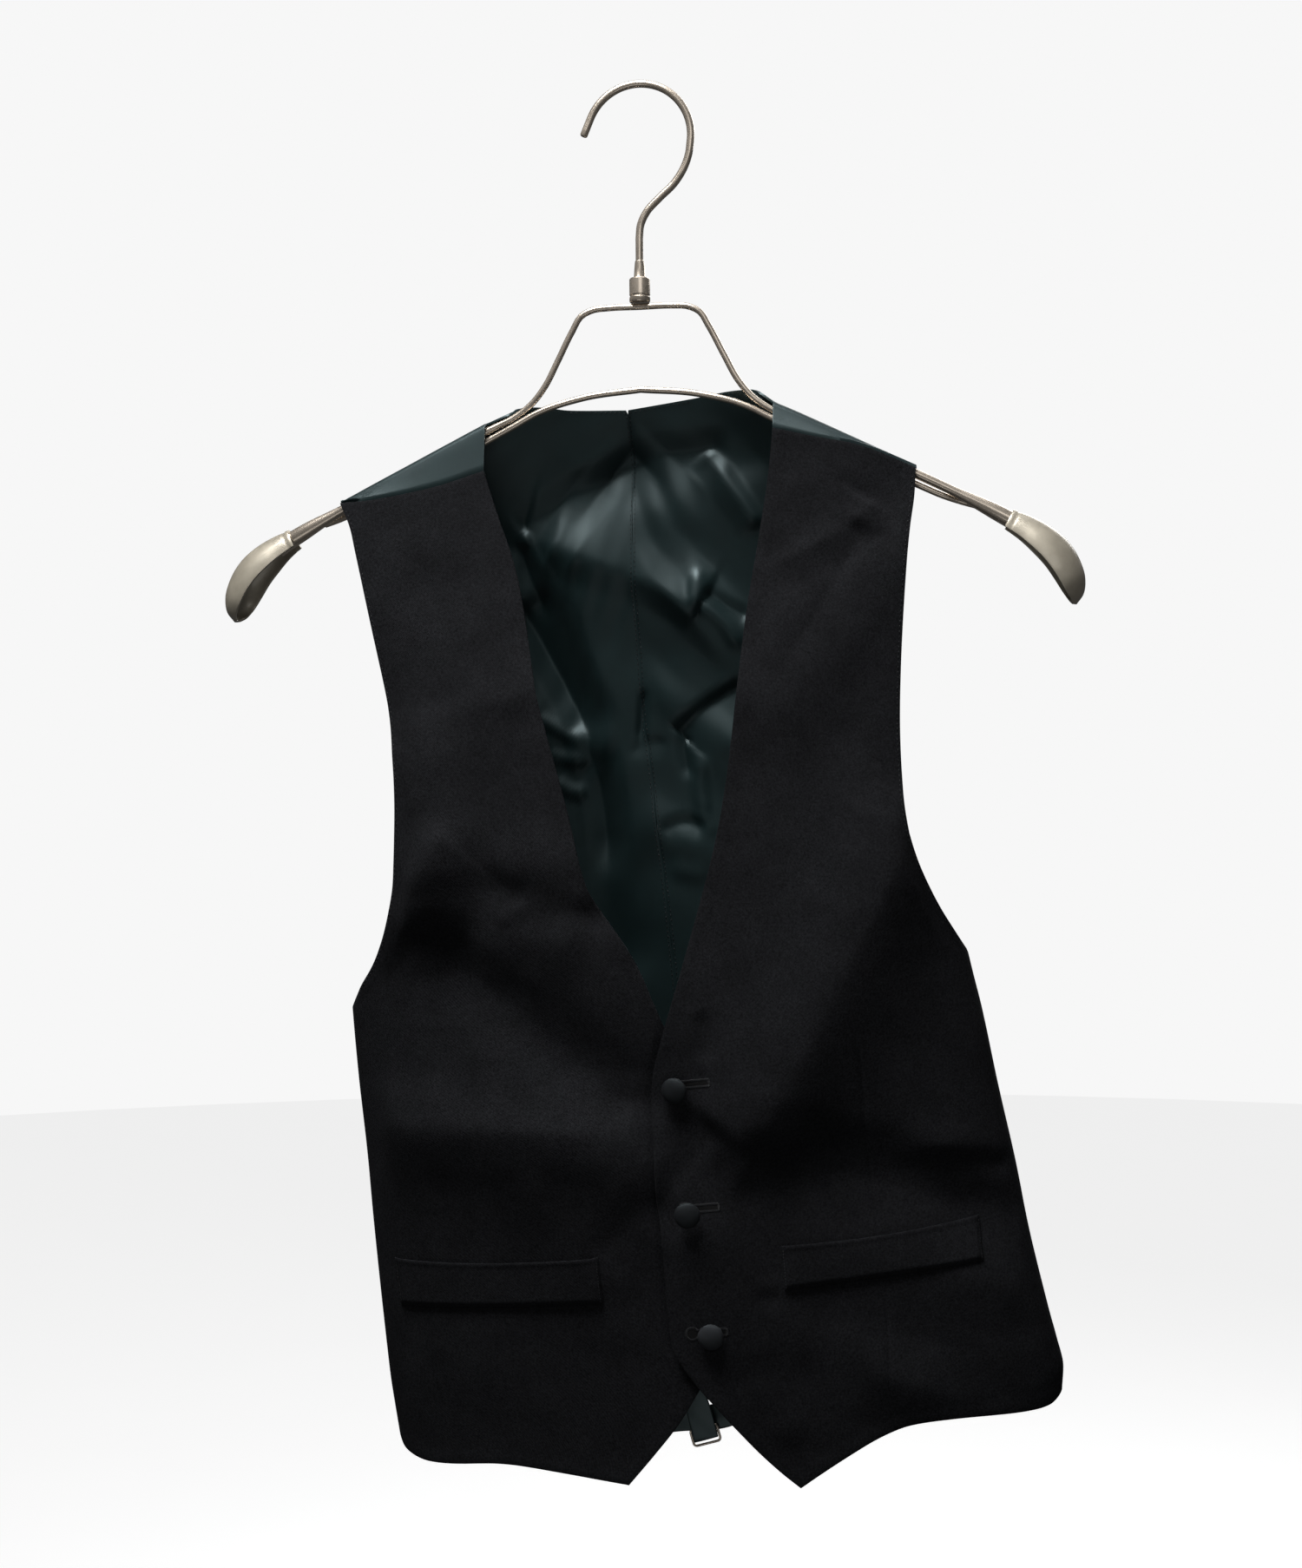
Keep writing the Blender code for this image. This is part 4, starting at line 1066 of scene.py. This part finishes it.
def keyhole(eye, bar, lip):
    """Points round a keyhole a distance out from its slit, and the directions out of it."""
    run = bar - eye
    long = np.linalg.norm(run)
    run = run / long
    side = np.array([-run[1], run[0]])
    radius = EYELET_RADIUS + lip
    half = SLIT_HALF + lip
    open_angle = math.asin(half / radius)
    points, outs = [], []
    pitch = 0.44
    for away in np.arange(long, radius * math.cos(open_angle), -pitch):
        points.append(eye + run * away + side * half)
        outs.append(side)
    for turn in np.arange(open_angle, 2 * math.pi - open_angle, pitch / radius):
        out = run * math.cos(turn) + side * math.sin(turn)
        points.append(eye + out * radius)
        outs.append(out)
    for away in np.arange(radius * math.cos(open_angle), long, pitch):
        points.append(eye + run * away - side * half)
        outs.append(-side)
    for across in np.arange(-half, half, pitch):
        points.append(eye + run * (long + 0.2) + side * across)
        outs.append(run)
    return np.array(points), np.array(outs)


class SewButtonholes(bpy.types.Operator):
    """Sews the three keyhole buttonholes of the left front, with painted shade in each slit"""

    bl_idname = "waistcoat.sew_buttonholes"
    bl_label = "Buttonholes"

    def execute(self, context):
        cloth, finishes, _ = settings()
        lip = thread_finish("buttonhole silk", scaled(finishes.thread, 1.2))
        # Painted shade: the slit is a near-black sheet laid over the opening, standing in for its
        # shadow.
        dark = thread_finish("shadow of the slit", scaled(finishes.thread, 0.1))
        for name, eye_x, eye_drop, bar_x, bar_drop in BUTTONHOLES:
            eye, bar = np.array([eye_x, eye_drop]), np.array([bar_x, bar_drop])
            flat, outs = keyhole(eye, bar, LIP)
            laid = [on_cloth("front_left", x, d, -1) for x, d in flat]
            places = np.array([place for place, _ in laid])
            normals = np.array([normal for _, normal in laid])
            along = np.stack([outs[:, 0], np.zeros(len(outs)), -outs[:, 1]], axis=-1)
            piece = stitches(name, places, along, normals, *LIP_STITCH)
            settle(piece, name, lip, "wool")
            self.slit(name + "_slit_shade", eye, bar, dark)
        return {"FINISHED"}

    def slit(self, name, eye, bar, finish):
        """A dark sheet over the opening between the lips: painted shade of the slit."""
        rim, _ = keyhole(eye, bar, 0.05)
        laid = [on_cloth("front_left", x, d, -1) for x, d in rim]
        points = [place + normal * 0.06 * MM for place, normal in laid]
        mesh = bpy.data.meshes.new(name)
        mesh.from_pydata(points, [], [tuple(range(len(points)))])
        thing = new_object(name, mesh)
        only(thing)
        edit_whole()
        bpy.ops.mesh.quads_convert_to_tris()
        bpy.ops.object.mode_set(mode="OBJECT")
        solid = thing.modifiers.new("thickness", "SOLIDIFY")
        solid.thickness = 0.1 * MM
        solid.offset = 0
        apply_modifiers(thing)
        settle(thing, name, finish, "wool")


class SewWelts(bpy.types.Operator):
    """Sews the two pocket welts: a rolled top edge, pressed ends and a pressed foot"""

    bl_idname = "waistcoat.sew_welts"
    bl_label = "Pocket welts"

    def execute(self, context):
        cloth, finishes, _ = settings()
        wool = wool_finish("black worsted", finishes.wool)
        thread = thread_finish("dark thread", finishes.thread)
        for side, creases in (("right", RIGHT_CREASES), ("left", LEFT_CREASES)):
            name = "welt_" + side
            grid = fine_grid(read_wall(name, WELT_CELLS, cloth.wool, FORWARDS), *WELT_FINE)
            rise = crease_rise(grid, creases)
            ends = edge_distance(grid, ("first", "last"))
            rise -= WELT_PRESS * (1 - ease(ends / (2.6 * MM)))
            from_top = run_lengths(grid)[:, None]
            roll = WELT_ROLL * np.exp(-(((from_top - 1.1 * MM) / (1.1 * MM)) ** 2))
            rise += roll * ease(ends / (2 * MM))
            grid = grid + normals_of(grid, FORWARDS) * rise[..., None]
            piece = shell(name + "_cloth", grid, FORWARDS, WELT_WALL, 0.3 * MM)
            settle(piece, name + "_cloth", (wool, wool), "wool", (name,))
            for first in (True, False):
                label = f"{name}_{'outer' if first else 'inner'}_stitches"
                rows = range(2, len(grid) - 1)
                finish = (thread, "wool")
                sew_line(label, grid, (FORWARDS, first), WELT_INSET, rows, WELT_STITCH, finish)
        return {"FINISHED"}


class MakeButtons(bpy.types.Operator):
    """Covers the three buttons with satin, drawn in round their rims"""

    bl_idname = "waistcoat.make_buttons"
    bl_label = "Buttons"

    def execute(self, context):
        _, finishes, _ = settings()
        satin = satin_finish("button satin", scaled(finishes.wool, 1.15), *BUTTON_LOOK)
        # The bottom button's satin is 2.4 times the wool's colour, lighter than the other two buttons'.
        lighter_satin = satin_finish("lighter button satin", scaled(finishes.wool, 2.4), *BUTTON_LOOK)
        for number, name in enumerate(("button_top", "button_middle", "button_bottom")):
            points = np.array([vertex.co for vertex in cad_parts[name].data.vertices])
            centre = (points.max(axis=0) + points.min(axis=0)) / 2
            _, _, axes = np.linalg.svd(points - points.mean(axis=0), full_matrices=False)
            out = Vector(axes[2]) * (-1 if axes[2][1] > 0 else 1)
            reach = (points - centre) @ np.array(out)
            bpy.ops.object.select_all(action="DESELECT")
            bpy.ops.mesh.primitive_uv_sphere_add(segments=56, ring_count=30, radius=1.0)
            button = bpy.context.object
            edit_whole()
            bpy.ops.transform.resize(value=(BUTTON_RADIUS * MM, BUTTON_RADIUS * MM, BUTTON_DOME * MM))
            bpy.ops.object.mode_set(mode="OBJECT")
            self.cover(button, number)
            turn = out.to_track_quat("Z", "Y").to_matrix().to_4x4()
            foot = Vector(centre) + out * float(reach.min())
            button.data.transform(Matrix.Translation(foot + out * BUTTON_LIFT * MM) @ turn)
            finish = lighter_satin if name == "button_bottom" else satin
            settle(button, name + "_covered", finish, "button_satin", (name,))
        return {"FINISHED"}

    def cover(self, button, number):
        """Gives the dome its uneven cloth, and the underside its gathers."""
        for vertex in button.data.vertices:
            x, y, z = vertex.co
            turn = math.atan2(y, x) + number * 1.7
            out = math.hypot(x, y) / (BUTTON_RADIUS * MM)
            if z > 0:
                vertex.co.z = z * (0.93 + 0.05 * math.sin(2 * turn) * out)
                swell = 1 + 0.016 * math.sin(3 * turn + 1.1) + 0.010 * math.sin(5 * turn)
                vertex.co.x, vertex.co.y = x * swell, y * swell
            else:
                gather = 1 + 0.022 * math.sin(22 * turn) * out
                vertex.co.x, vertex.co.y = x * gather * 0.985, y * gather * 0.985
                vertex.co.z = z * 0.82
        button.data.shade_smooth()


def strap_grid(line, cells=(12, 84), ripple=0.0):
    """A strap's outer face: down a line, laid on the back, with a depth out of it."""
    middle = []
    depth = None
    for across, drop, out in line:
        hits = []
        for side in ("right", "left"):
            try:
                hits.append(on_cloth("back_" + side, across, drop, 1)[0][1])
            except RuntimeError:
                continue
        if hits:
            depth = max(hits)
        middle.append((across * MM, depth + (out + STRAP_STAND) * MM, -drop * MM))
    centre = smooth_down(np.array(middle)[:, None], cells[1])[:, 0]
    run = unit(np.gradient(centre, axis=0))
    wide = unit(np.cross(run, np.array([0.0, 1.0, 0.0])))
    share = np.linspace(-0.5, 0.5, cells[0] + 1)
    grid = centre[:, None] + wide[:, None] * (share * STRAP_WIDE * MM)[None, :, None]
    along = np.linspace(0, 1, cells[1] + 1)[:, None]
    wave = np.sin(along * 19 + share[None] * 3) * 0.35 + np.sin(along * 43 - share[None] * 5) * 0.15
    grid[..., 1] += ripple * wave * ease(along * 4)
    return grid


class SewStraps(bpy.types.Operator):
    """Sews the two waist straps of the back and the slide they meet in"""

    bl_idname = "waistcoat.sew_straps"
    bl_label = "Waist straps"

    def execute(self, context):
        cloth, finishes, _ = settings()
        # Painted light: the straps' satin is a tenth lighter than the back's, for the strap lit where it
        # sticks out.
        satin = satin_finish("strap satin painted lighter", scaled(finishes.satin, 1.1), 0.36, shine=0.5)
        thread = thread_finish("dark thread", finishes.thread)
        for name, line in (("strap_buckle", BUCKLE_STRAP), ("strap_tongue", TONGUE_STRAP)):
            grid = strap_grid(line, ripple=MM)
            piece = shell(name + "_cloth", grid, BACKWARDS, STRAP_WALL, 0.4 * MM)
            settle(piece, name + "_cloth", (satin, satin), "satin", (name,))
            for first in (True, False):
                label = f"{name}_{'upper' if first else 'lower'}_stitches"
                rows = range(1, len(grid) - 1)
                sizes = (cloth.stitch_pitch, cloth.stitch_length, cloth.thread * 0.8)
                finish = (thread, "satin")
                sew_line(label, grid, (BACKWARDS, first), STRAP_INSET, rows, sizes, finish)
        self.slide(finishes)
        return {"FINISHED"}

    def slide(self, finishes):
        """The wire slide that hangs askew on the strap's end, with its bar."""
        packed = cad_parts["strap_slide"].data
        depth = float(np.mean([vertex.co.y for vertex in packed.vertices])) / MM
        lean = math.radians(SLIDE_LEAN)
        cosine, sine = math.cos(lean), math.sin(lean)

        def placed(across, up):
            turned = across * cosine - up * sine, across * sine + up * cosine
            return SLIDE_PLACE[0] + turned[0], depth, turned[1] - SLIDE_PLACE[1]

        corner = SLIDE_CORNER
        half_wide, half_high = SLIDE_SIZE[0] / 2, SLIDE_SIZE[1] / 2
        line = []
        for quarter, (right, top) in enumerate(((1, 1), (-1, 1), (-1, -1), (1, -1))):
            for turn in np.radians(quarter * 90 + np.arange(6) * 18):
                across = right * (half_wide - corner) + corner * math.cos(turn)
                line.append(placed(across, top * (half_high - corner) + corner * math.sin(turn)))
        rim = wire("slide_rim", line, [SLIDE_WIRE] * len(line), closed=True)
        bar = wire("slide_bar", [placed(-half_wide, 0.6), placed(half_wide, 0.6)], [SLIDE_BAR] * 2)
        only(rim)
        bar.select_set(True)
        bpy.ops.object.join()
        nickel = metal_finish("warm nickel", finishes.nickel, *NICKEL_LOOK)
        settle(rim, "slide_buckle", nickel, "nickel", ("strap_slide",))


# --- the hanger -----------------------------------------------------------------------------------


def wire(name, points, sizes, closed=False):
    """A bent round wire down a line of points, as a mesh."""
    curve = bpy.data.curves.new(name, "CURVE")
    curve.dimensions = "3D"
    curve.bevel_depth = 1.0
    curve.bevel_resolution = 6
    curve.use_fill_caps = not closed
    spline = curve.splines.new("POLY")
    spline.points.add(len(points) - 1)
    for one, point, size in zip(spline.points, points, sizes):
        one.co = (point[0] * MM, point[1] * MM, point[2] * MM, 1.0)
        one.radius = size / 2 * MM
    spline.use_cyclic_u = closed
    spline.use_smooth = True
    only(new_object(name, curve))
    bpy.ops.object.convert(target="MESH")
    thing = bpy.context.object
    edit_whole()
    bpy.ops.mesh.remove_doubles(threshold=WELD)
    face_outwards()
    bpy.ops.object.shade_smooth_by_angle(angle=math.radians(40))
    return thing


def smooth_line(rows, count):
    """A line through a few places, made smooth and fine."""
    return smooth_down(np.array(rows, dtype=float)[:, None], count, stiff=0.0)[:, 0]


def mirrored(half):
    """A line from the far end over its middle to the near end, from its right half."""
    other = half[1:][::-1].copy()
    other[:, 0] *= -1
    return np.concatenate([other, half])


def turned_piece(name, profile, steps):
    """A solid turned about the hook's line: rings drawn out of each other down a profile."""
    radius, height = profile[0]
    bpy.ops.object.select_all(action="DESELECT")
    bpy.ops.mesh.primitive_circle_add(
        vertices=steps, radius=radius * MM, fill_type="NGON", location=(0, 0, height * MM)
    )
    thing = bpy.context.object
    edit_whole()
    for next_radius, next_height in profile[1:]:
        rise = (next_height - height) * MM
        bpy.ops.mesh.extrude_region_move(TRANSFORM_OT_translate={"value": (0, 0, rise)})
        bpy.ops.transform.resize(value=(next_radius / radius, next_radius / radius, 1))
        radius, height = next_radius, next_height
    face_outwards()
    bpy.ops.object.transform_apply(location=True, rotation=True, scale=True)
    bpy.ops.object.shade_smooth_by_angle(angle=math.radians(35))
    thing.name = name
    return thing


class BendWires(bpy.types.Operator):
    """Bends the hook, the frame and the arch, and turns the nut"""

    bl_idname = "waistcoat.bend_wires"
    bl_label = "Hanger wires"

    def execute(self, context):
        _, finishes, _ = settings()
        nickel = metal_finish("warm nickel", finishes.nickel, *NICKEL_LOOK)
        half = smooth_line([(x, 0, -drop) for x, drop in FRAME_LINE], 90)
        out = half[:, 0]
        size = FRAME_WIRE + (ARM_WIRE - FRAME_WIRE) * ease((out - 62.0) / 50.0)
        size += (MOUTH_WIRE - ARM_WIRE) * ease((out - 158.0) / 30.0)
        sizes = np.concatenate([size[1:][::-1], size])
        bent = {"frame": wire("frame", mirrored(half), sizes)}
        half = smooth_line([(x, y, -drop) for x, y, drop in ARCH_LINE], 70)
        line = mirrored(half)
        bent["arch"] = wire("arch", line, [ARCH_WIRE] * len(line))
        bent["hook"] = self.hook()
        for name, piece in bent.items():
            settle(piece, f"hanger_{name}_wire", nickel, "nickel", ("hanger_" + name,))
        nut = turned_piece("nut", NUT_PROFILE, 48)
        settle(nut, "hanger_nut_turned", nickel, "nickel", ("hanger_nut",))
        return {"FINISHED"}

    def hook(self):
        """The hook: a straight tip, most of a circle and a swan neck down into the nut."""
        middle = HOOK_TOP - HOOK_RADIUS
        tip = math.radians(HOOK_TURN[0])
        start = np.array([HOOK_RADIUS * math.cos(tip), 0, middle + HOOK_RADIUS * math.sin(tip)])
        leave = np.array([-math.sin(tip), 0, math.cos(tip)])
        points = [start + leave * away for away in (10.0, 9.7, 9.0, 6.0, 3.0)]
        for turn in np.radians(np.linspace(*HOOK_TURN, 64)):
            points.append((HOOK_RADIUS * math.cos(turn), 0, middle + HOOK_RADIUS * math.sin(turn)))
        last = points[-1]
        neck = [(last[0], 0, last[2])] + [(x, 0, -drop) for x, drop in HOOK_NECK]
        points += list(smooth_line(neck, 50)[1:])
        points.append((0.0, 0.0, -90.0))
        sizes = [2.6, 3.6] + [HOOK_WIRE] * (len(points) - 2)
        return wire("hook", points, sizes)


class MouldCaps(bpy.types.Operator):
    """Moulds the two shoulder caps: half round above, hollow below, with a lip at the mouth"""

    bl_idname = "waistcoat.mould_caps"
    bl_label = "Hanger caps"

    def execute(self, context):
        _, finishes, _ = settings()
        cap = metal_finish("champagne cap", finishes.cap, 0.35, 0.38, 0.3)
        # Painted shade: each cap's inside gets the cap's colour at 0.45, less metal and rougher, for the
        # shadow in its hollow.
        hollow = metal_finish("painted shade inside the cap", scaled(finishes.cap, 0.45), 0.1, 0.5, 0.0)
        for name, side in (("cap_right", -1), ("cap_left", 1)):
            rows = []
            for top_x, top_drop, rim_x, rim_drop, half in CAP_STATIONS:
                turn = np.linspace(0, math.pi, 17)
                lift = np.sin(turn)
                across = side * (rim_x + (top_x - rim_x) * lift)
                drop = rim_drop + (top_drop - rim_drop) * lift
                rows.append(np.stack([across, half * np.cos(turn), -drop], axis=-1) * MM)
            grid = fine_grid(np.array(rows), *CAP_FINE)
            out = (side * 0.7, 0.0, 0.7)
            away = run_lengths(grid)[:, None]
            lip = CAP_LIP * (1 - ease((away - 2.2 * MM) / (0.5 * MM)))
            lip = lip - CAP_GROOVE * np.exp(-(((away - 3.0 * MM) / (0.45 * MM)) ** 2))
            normal = normals_of(grid, out)
            grid = grid + normal * lip[..., None]
            piece = shell(name + "_shell", grid, out, CAP_WALL, 0.35 * MM)
            settle(piece, name + "_shell", (cap, hollow), "cap", (name,))
        return {"FINISHED"}


# --- the stage ------------------------------------------------------------------------------------


def area_light(name, place, target, size, watts, spread=180):
    """A rectangular light that looks at a target and that the camera does not see."""
    bpy.ops.object.light_add(type="AREA", location=place)
    lamp = bpy.context.object
    lamp.name = name
    lamp.data.shape = "RECTANGLE"
    lamp.data.size, lamp.data.size_y = size
    lamp.data.energy = watts
    lamp.visible_camera = False
    lamp.data.spread = math.radians(spread)
    lamp.rotation_euler = (Vector(target) - Vector(place)).to_track_quat("-Z", "Y").to_euler()
    return lamp


def pale_finish(name):
    """The even pale finish of the floor."""
    made = Nodes(name)
    tone = made.ramp(made.noise(6.0, 3.0), (0.80, 0.80, 0.80), (0.82, 0.82, 0.82))
    made.join(tone, "Color", made.shader, "Base Color")
    made.set(Roughness=0.9, Specular_IOR_Level=0.1, Emission_Strength=0.8)
    made.shader.inputs["Emission Color"].default_value = (1.0, 1.0, 1.0, 1.0)
    return made.material


class SetStage(bpy.types.Operator):
    """Sets the pale floor, the lights and the camera"""

    bl_idname = "waistcoat.set_stage"
    bl_label = "Stage"

    def execute(self, context):
        _, _, stage = settings()
        self.floor(stage)
        self.lights(stage)
        self.camera()
        return {"FINISHED"}

    def floor(self, stage):
        """A round pale floor."""
        bpy.ops.object.select_all(action="DESELECT")
        bpy.ops.mesh.primitive_circle_add(
            vertices=96, radius=FLOOR_RADIUS, fill_type="NGON", location=(0, 0, -stage.floor_drop)
        )
        floor = bpy.context.object
        floor.name = "floor"
        edit_whole()
        bpy.ops.mesh.extrude_region_move(TRANSFORM_OT_translate={"value": (0, 0, -0.02)})
        face_outwards()
        bpy.ops.object.transform_apply(location=True, rotation=True, scale=True)
        floor.data.materials.append(pale_finish("pale paper"))
        floor.visible_diffuse = False
        floor.visible_glossy = False

    def lights(self, stage):
        middle = (0.0, 0.0, -0.42)
        area_light("key_light", (-0.22, -0.42, 0.75), middle, (0.6, 0.6), stage.key, 70)
        area_light("fill_light", (0.45, -1.6, 0.4), middle, (1.0, 0.5), stage.fill)
        area_light("low_light", (0.1, -1.5, -1.25), (0.0, 0.0, -0.2), (1.4, 0.5), stage.low)
        area_light("top_light", (0.1, 0.2, 1.3), middle, (1.2, 0.9), stage.top)
        area_light("back_light", (0.7, 1.7, 0.9), middle, (1.0, 1.0), stage.back)
        world = bpy.data.worlds.new("room")
        world.use_nodes = True
        tree = world.node_tree
        dim = tree.nodes["Background"]
        dim.inputs["Color"].default_value = (1.0, 1.0, 1.0, 1.0)
        dim.inputs["Strength"].default_value = stage.room
        pale = tree.nodes.new("ShaderNodeBackground")
        pale.inputs["Color"].default_value = (0.93, 0.93, 0.93, 1.0)
        path = tree.nodes.new("ShaderNodeLightPath")
        mixed = tree.nodes.new("ShaderNodeMixShader")
        tree.links.new(path.outputs["Is Camera Ray"], mixed.inputs["Fac"])
        tree.links.new(dim.outputs["Background"], mixed.inputs[1])
        tree.links.new(pale.outputs["Background"], mixed.inputs[2])
        tree.links.new(mixed.outputs["Shader"], tree.nodes["World Output"].inputs["Surface"])
        bpy.context.scene.world = world
        bpy.context.scene.view_settings.view_transform = "Standard"

    def camera(self):
        turn = math.radians(CAMERA_TURN)
        roll = math.radians(CAMERA_ROLL)
        across = Vector((math.cos(turn), math.sin(turn), 0))
        up = Vector((0, 0, 1))
        right = across * math.cos(roll) - up * math.sin(roll)
        top = across * math.sin(roll) + up * math.cos(roll)
        back = right.cross(top)
        lens = bpy.data.cameras.new("camera")
        lens.sensor_width = 36.0
        lens.lens = CAMERA_LENS
        camera = new_object("camera", lens)
        turned = Matrix((right, top, back)).transposed().to_4x4()
        camera.matrix_world = Matrix.Translation(CAMERA_PLACE) @ turned
        bpy.context.scene.camera = camera


class WaistcoatPanel(bpy.types.Panel):
    """Lists the pieces and their settings"""

    bl_idname = "VIEW3D_PT_waistcoat"
    bl_label = "Waistcoat"
    bl_space_type = "VIEW_3D"
    bl_region_type = "UI"
    bl_category = "Waistcoat"

    def draw(self, context):
        for group in settings():
            box = self.layout.box()
            for key in group.__annotations__:
                box.prop(group, key)
        for operator in PIECES:
            self.layout.operator(operator.bl_idname)


PIECES = (
    SetStage,
    SewFronts,
    SewBacks,
    SewWelts,
    SewStraps,
    SewStitches,
    SewButtonholes,
    MakeButtons,
    BendWires,
    MouldCaps,
)
GROUPS = {
    "waistcoat_cloth": ClothSizes,
    "waistcoat_finishes": Finishes,
    "waistcoat_stage": StageSettings,
}


def register():
    for made in (*GROUPS.values(), *PIECES, WaistcoatPanel):
        bpy.utils.register_class(made)
    for name, group in GROUPS.items():
        setattr(bpy.types.Scene, name, PointerProperty(type=group))


def unregister():
    for name in GROUPS:
        delattr(bpy.types.Scene, name)
    for made in reversed((*GROUPS.values(), *PIECES, WaistcoatPanel)):
        bpy.utils.unregister_class(made)


def main():
    register()
    for operator in PIECES:
        family, call = operator.bl_idname.split(".")
        getattr(getattr(bpy.ops, family), call)()


if __name__ == "__main__":
    main()
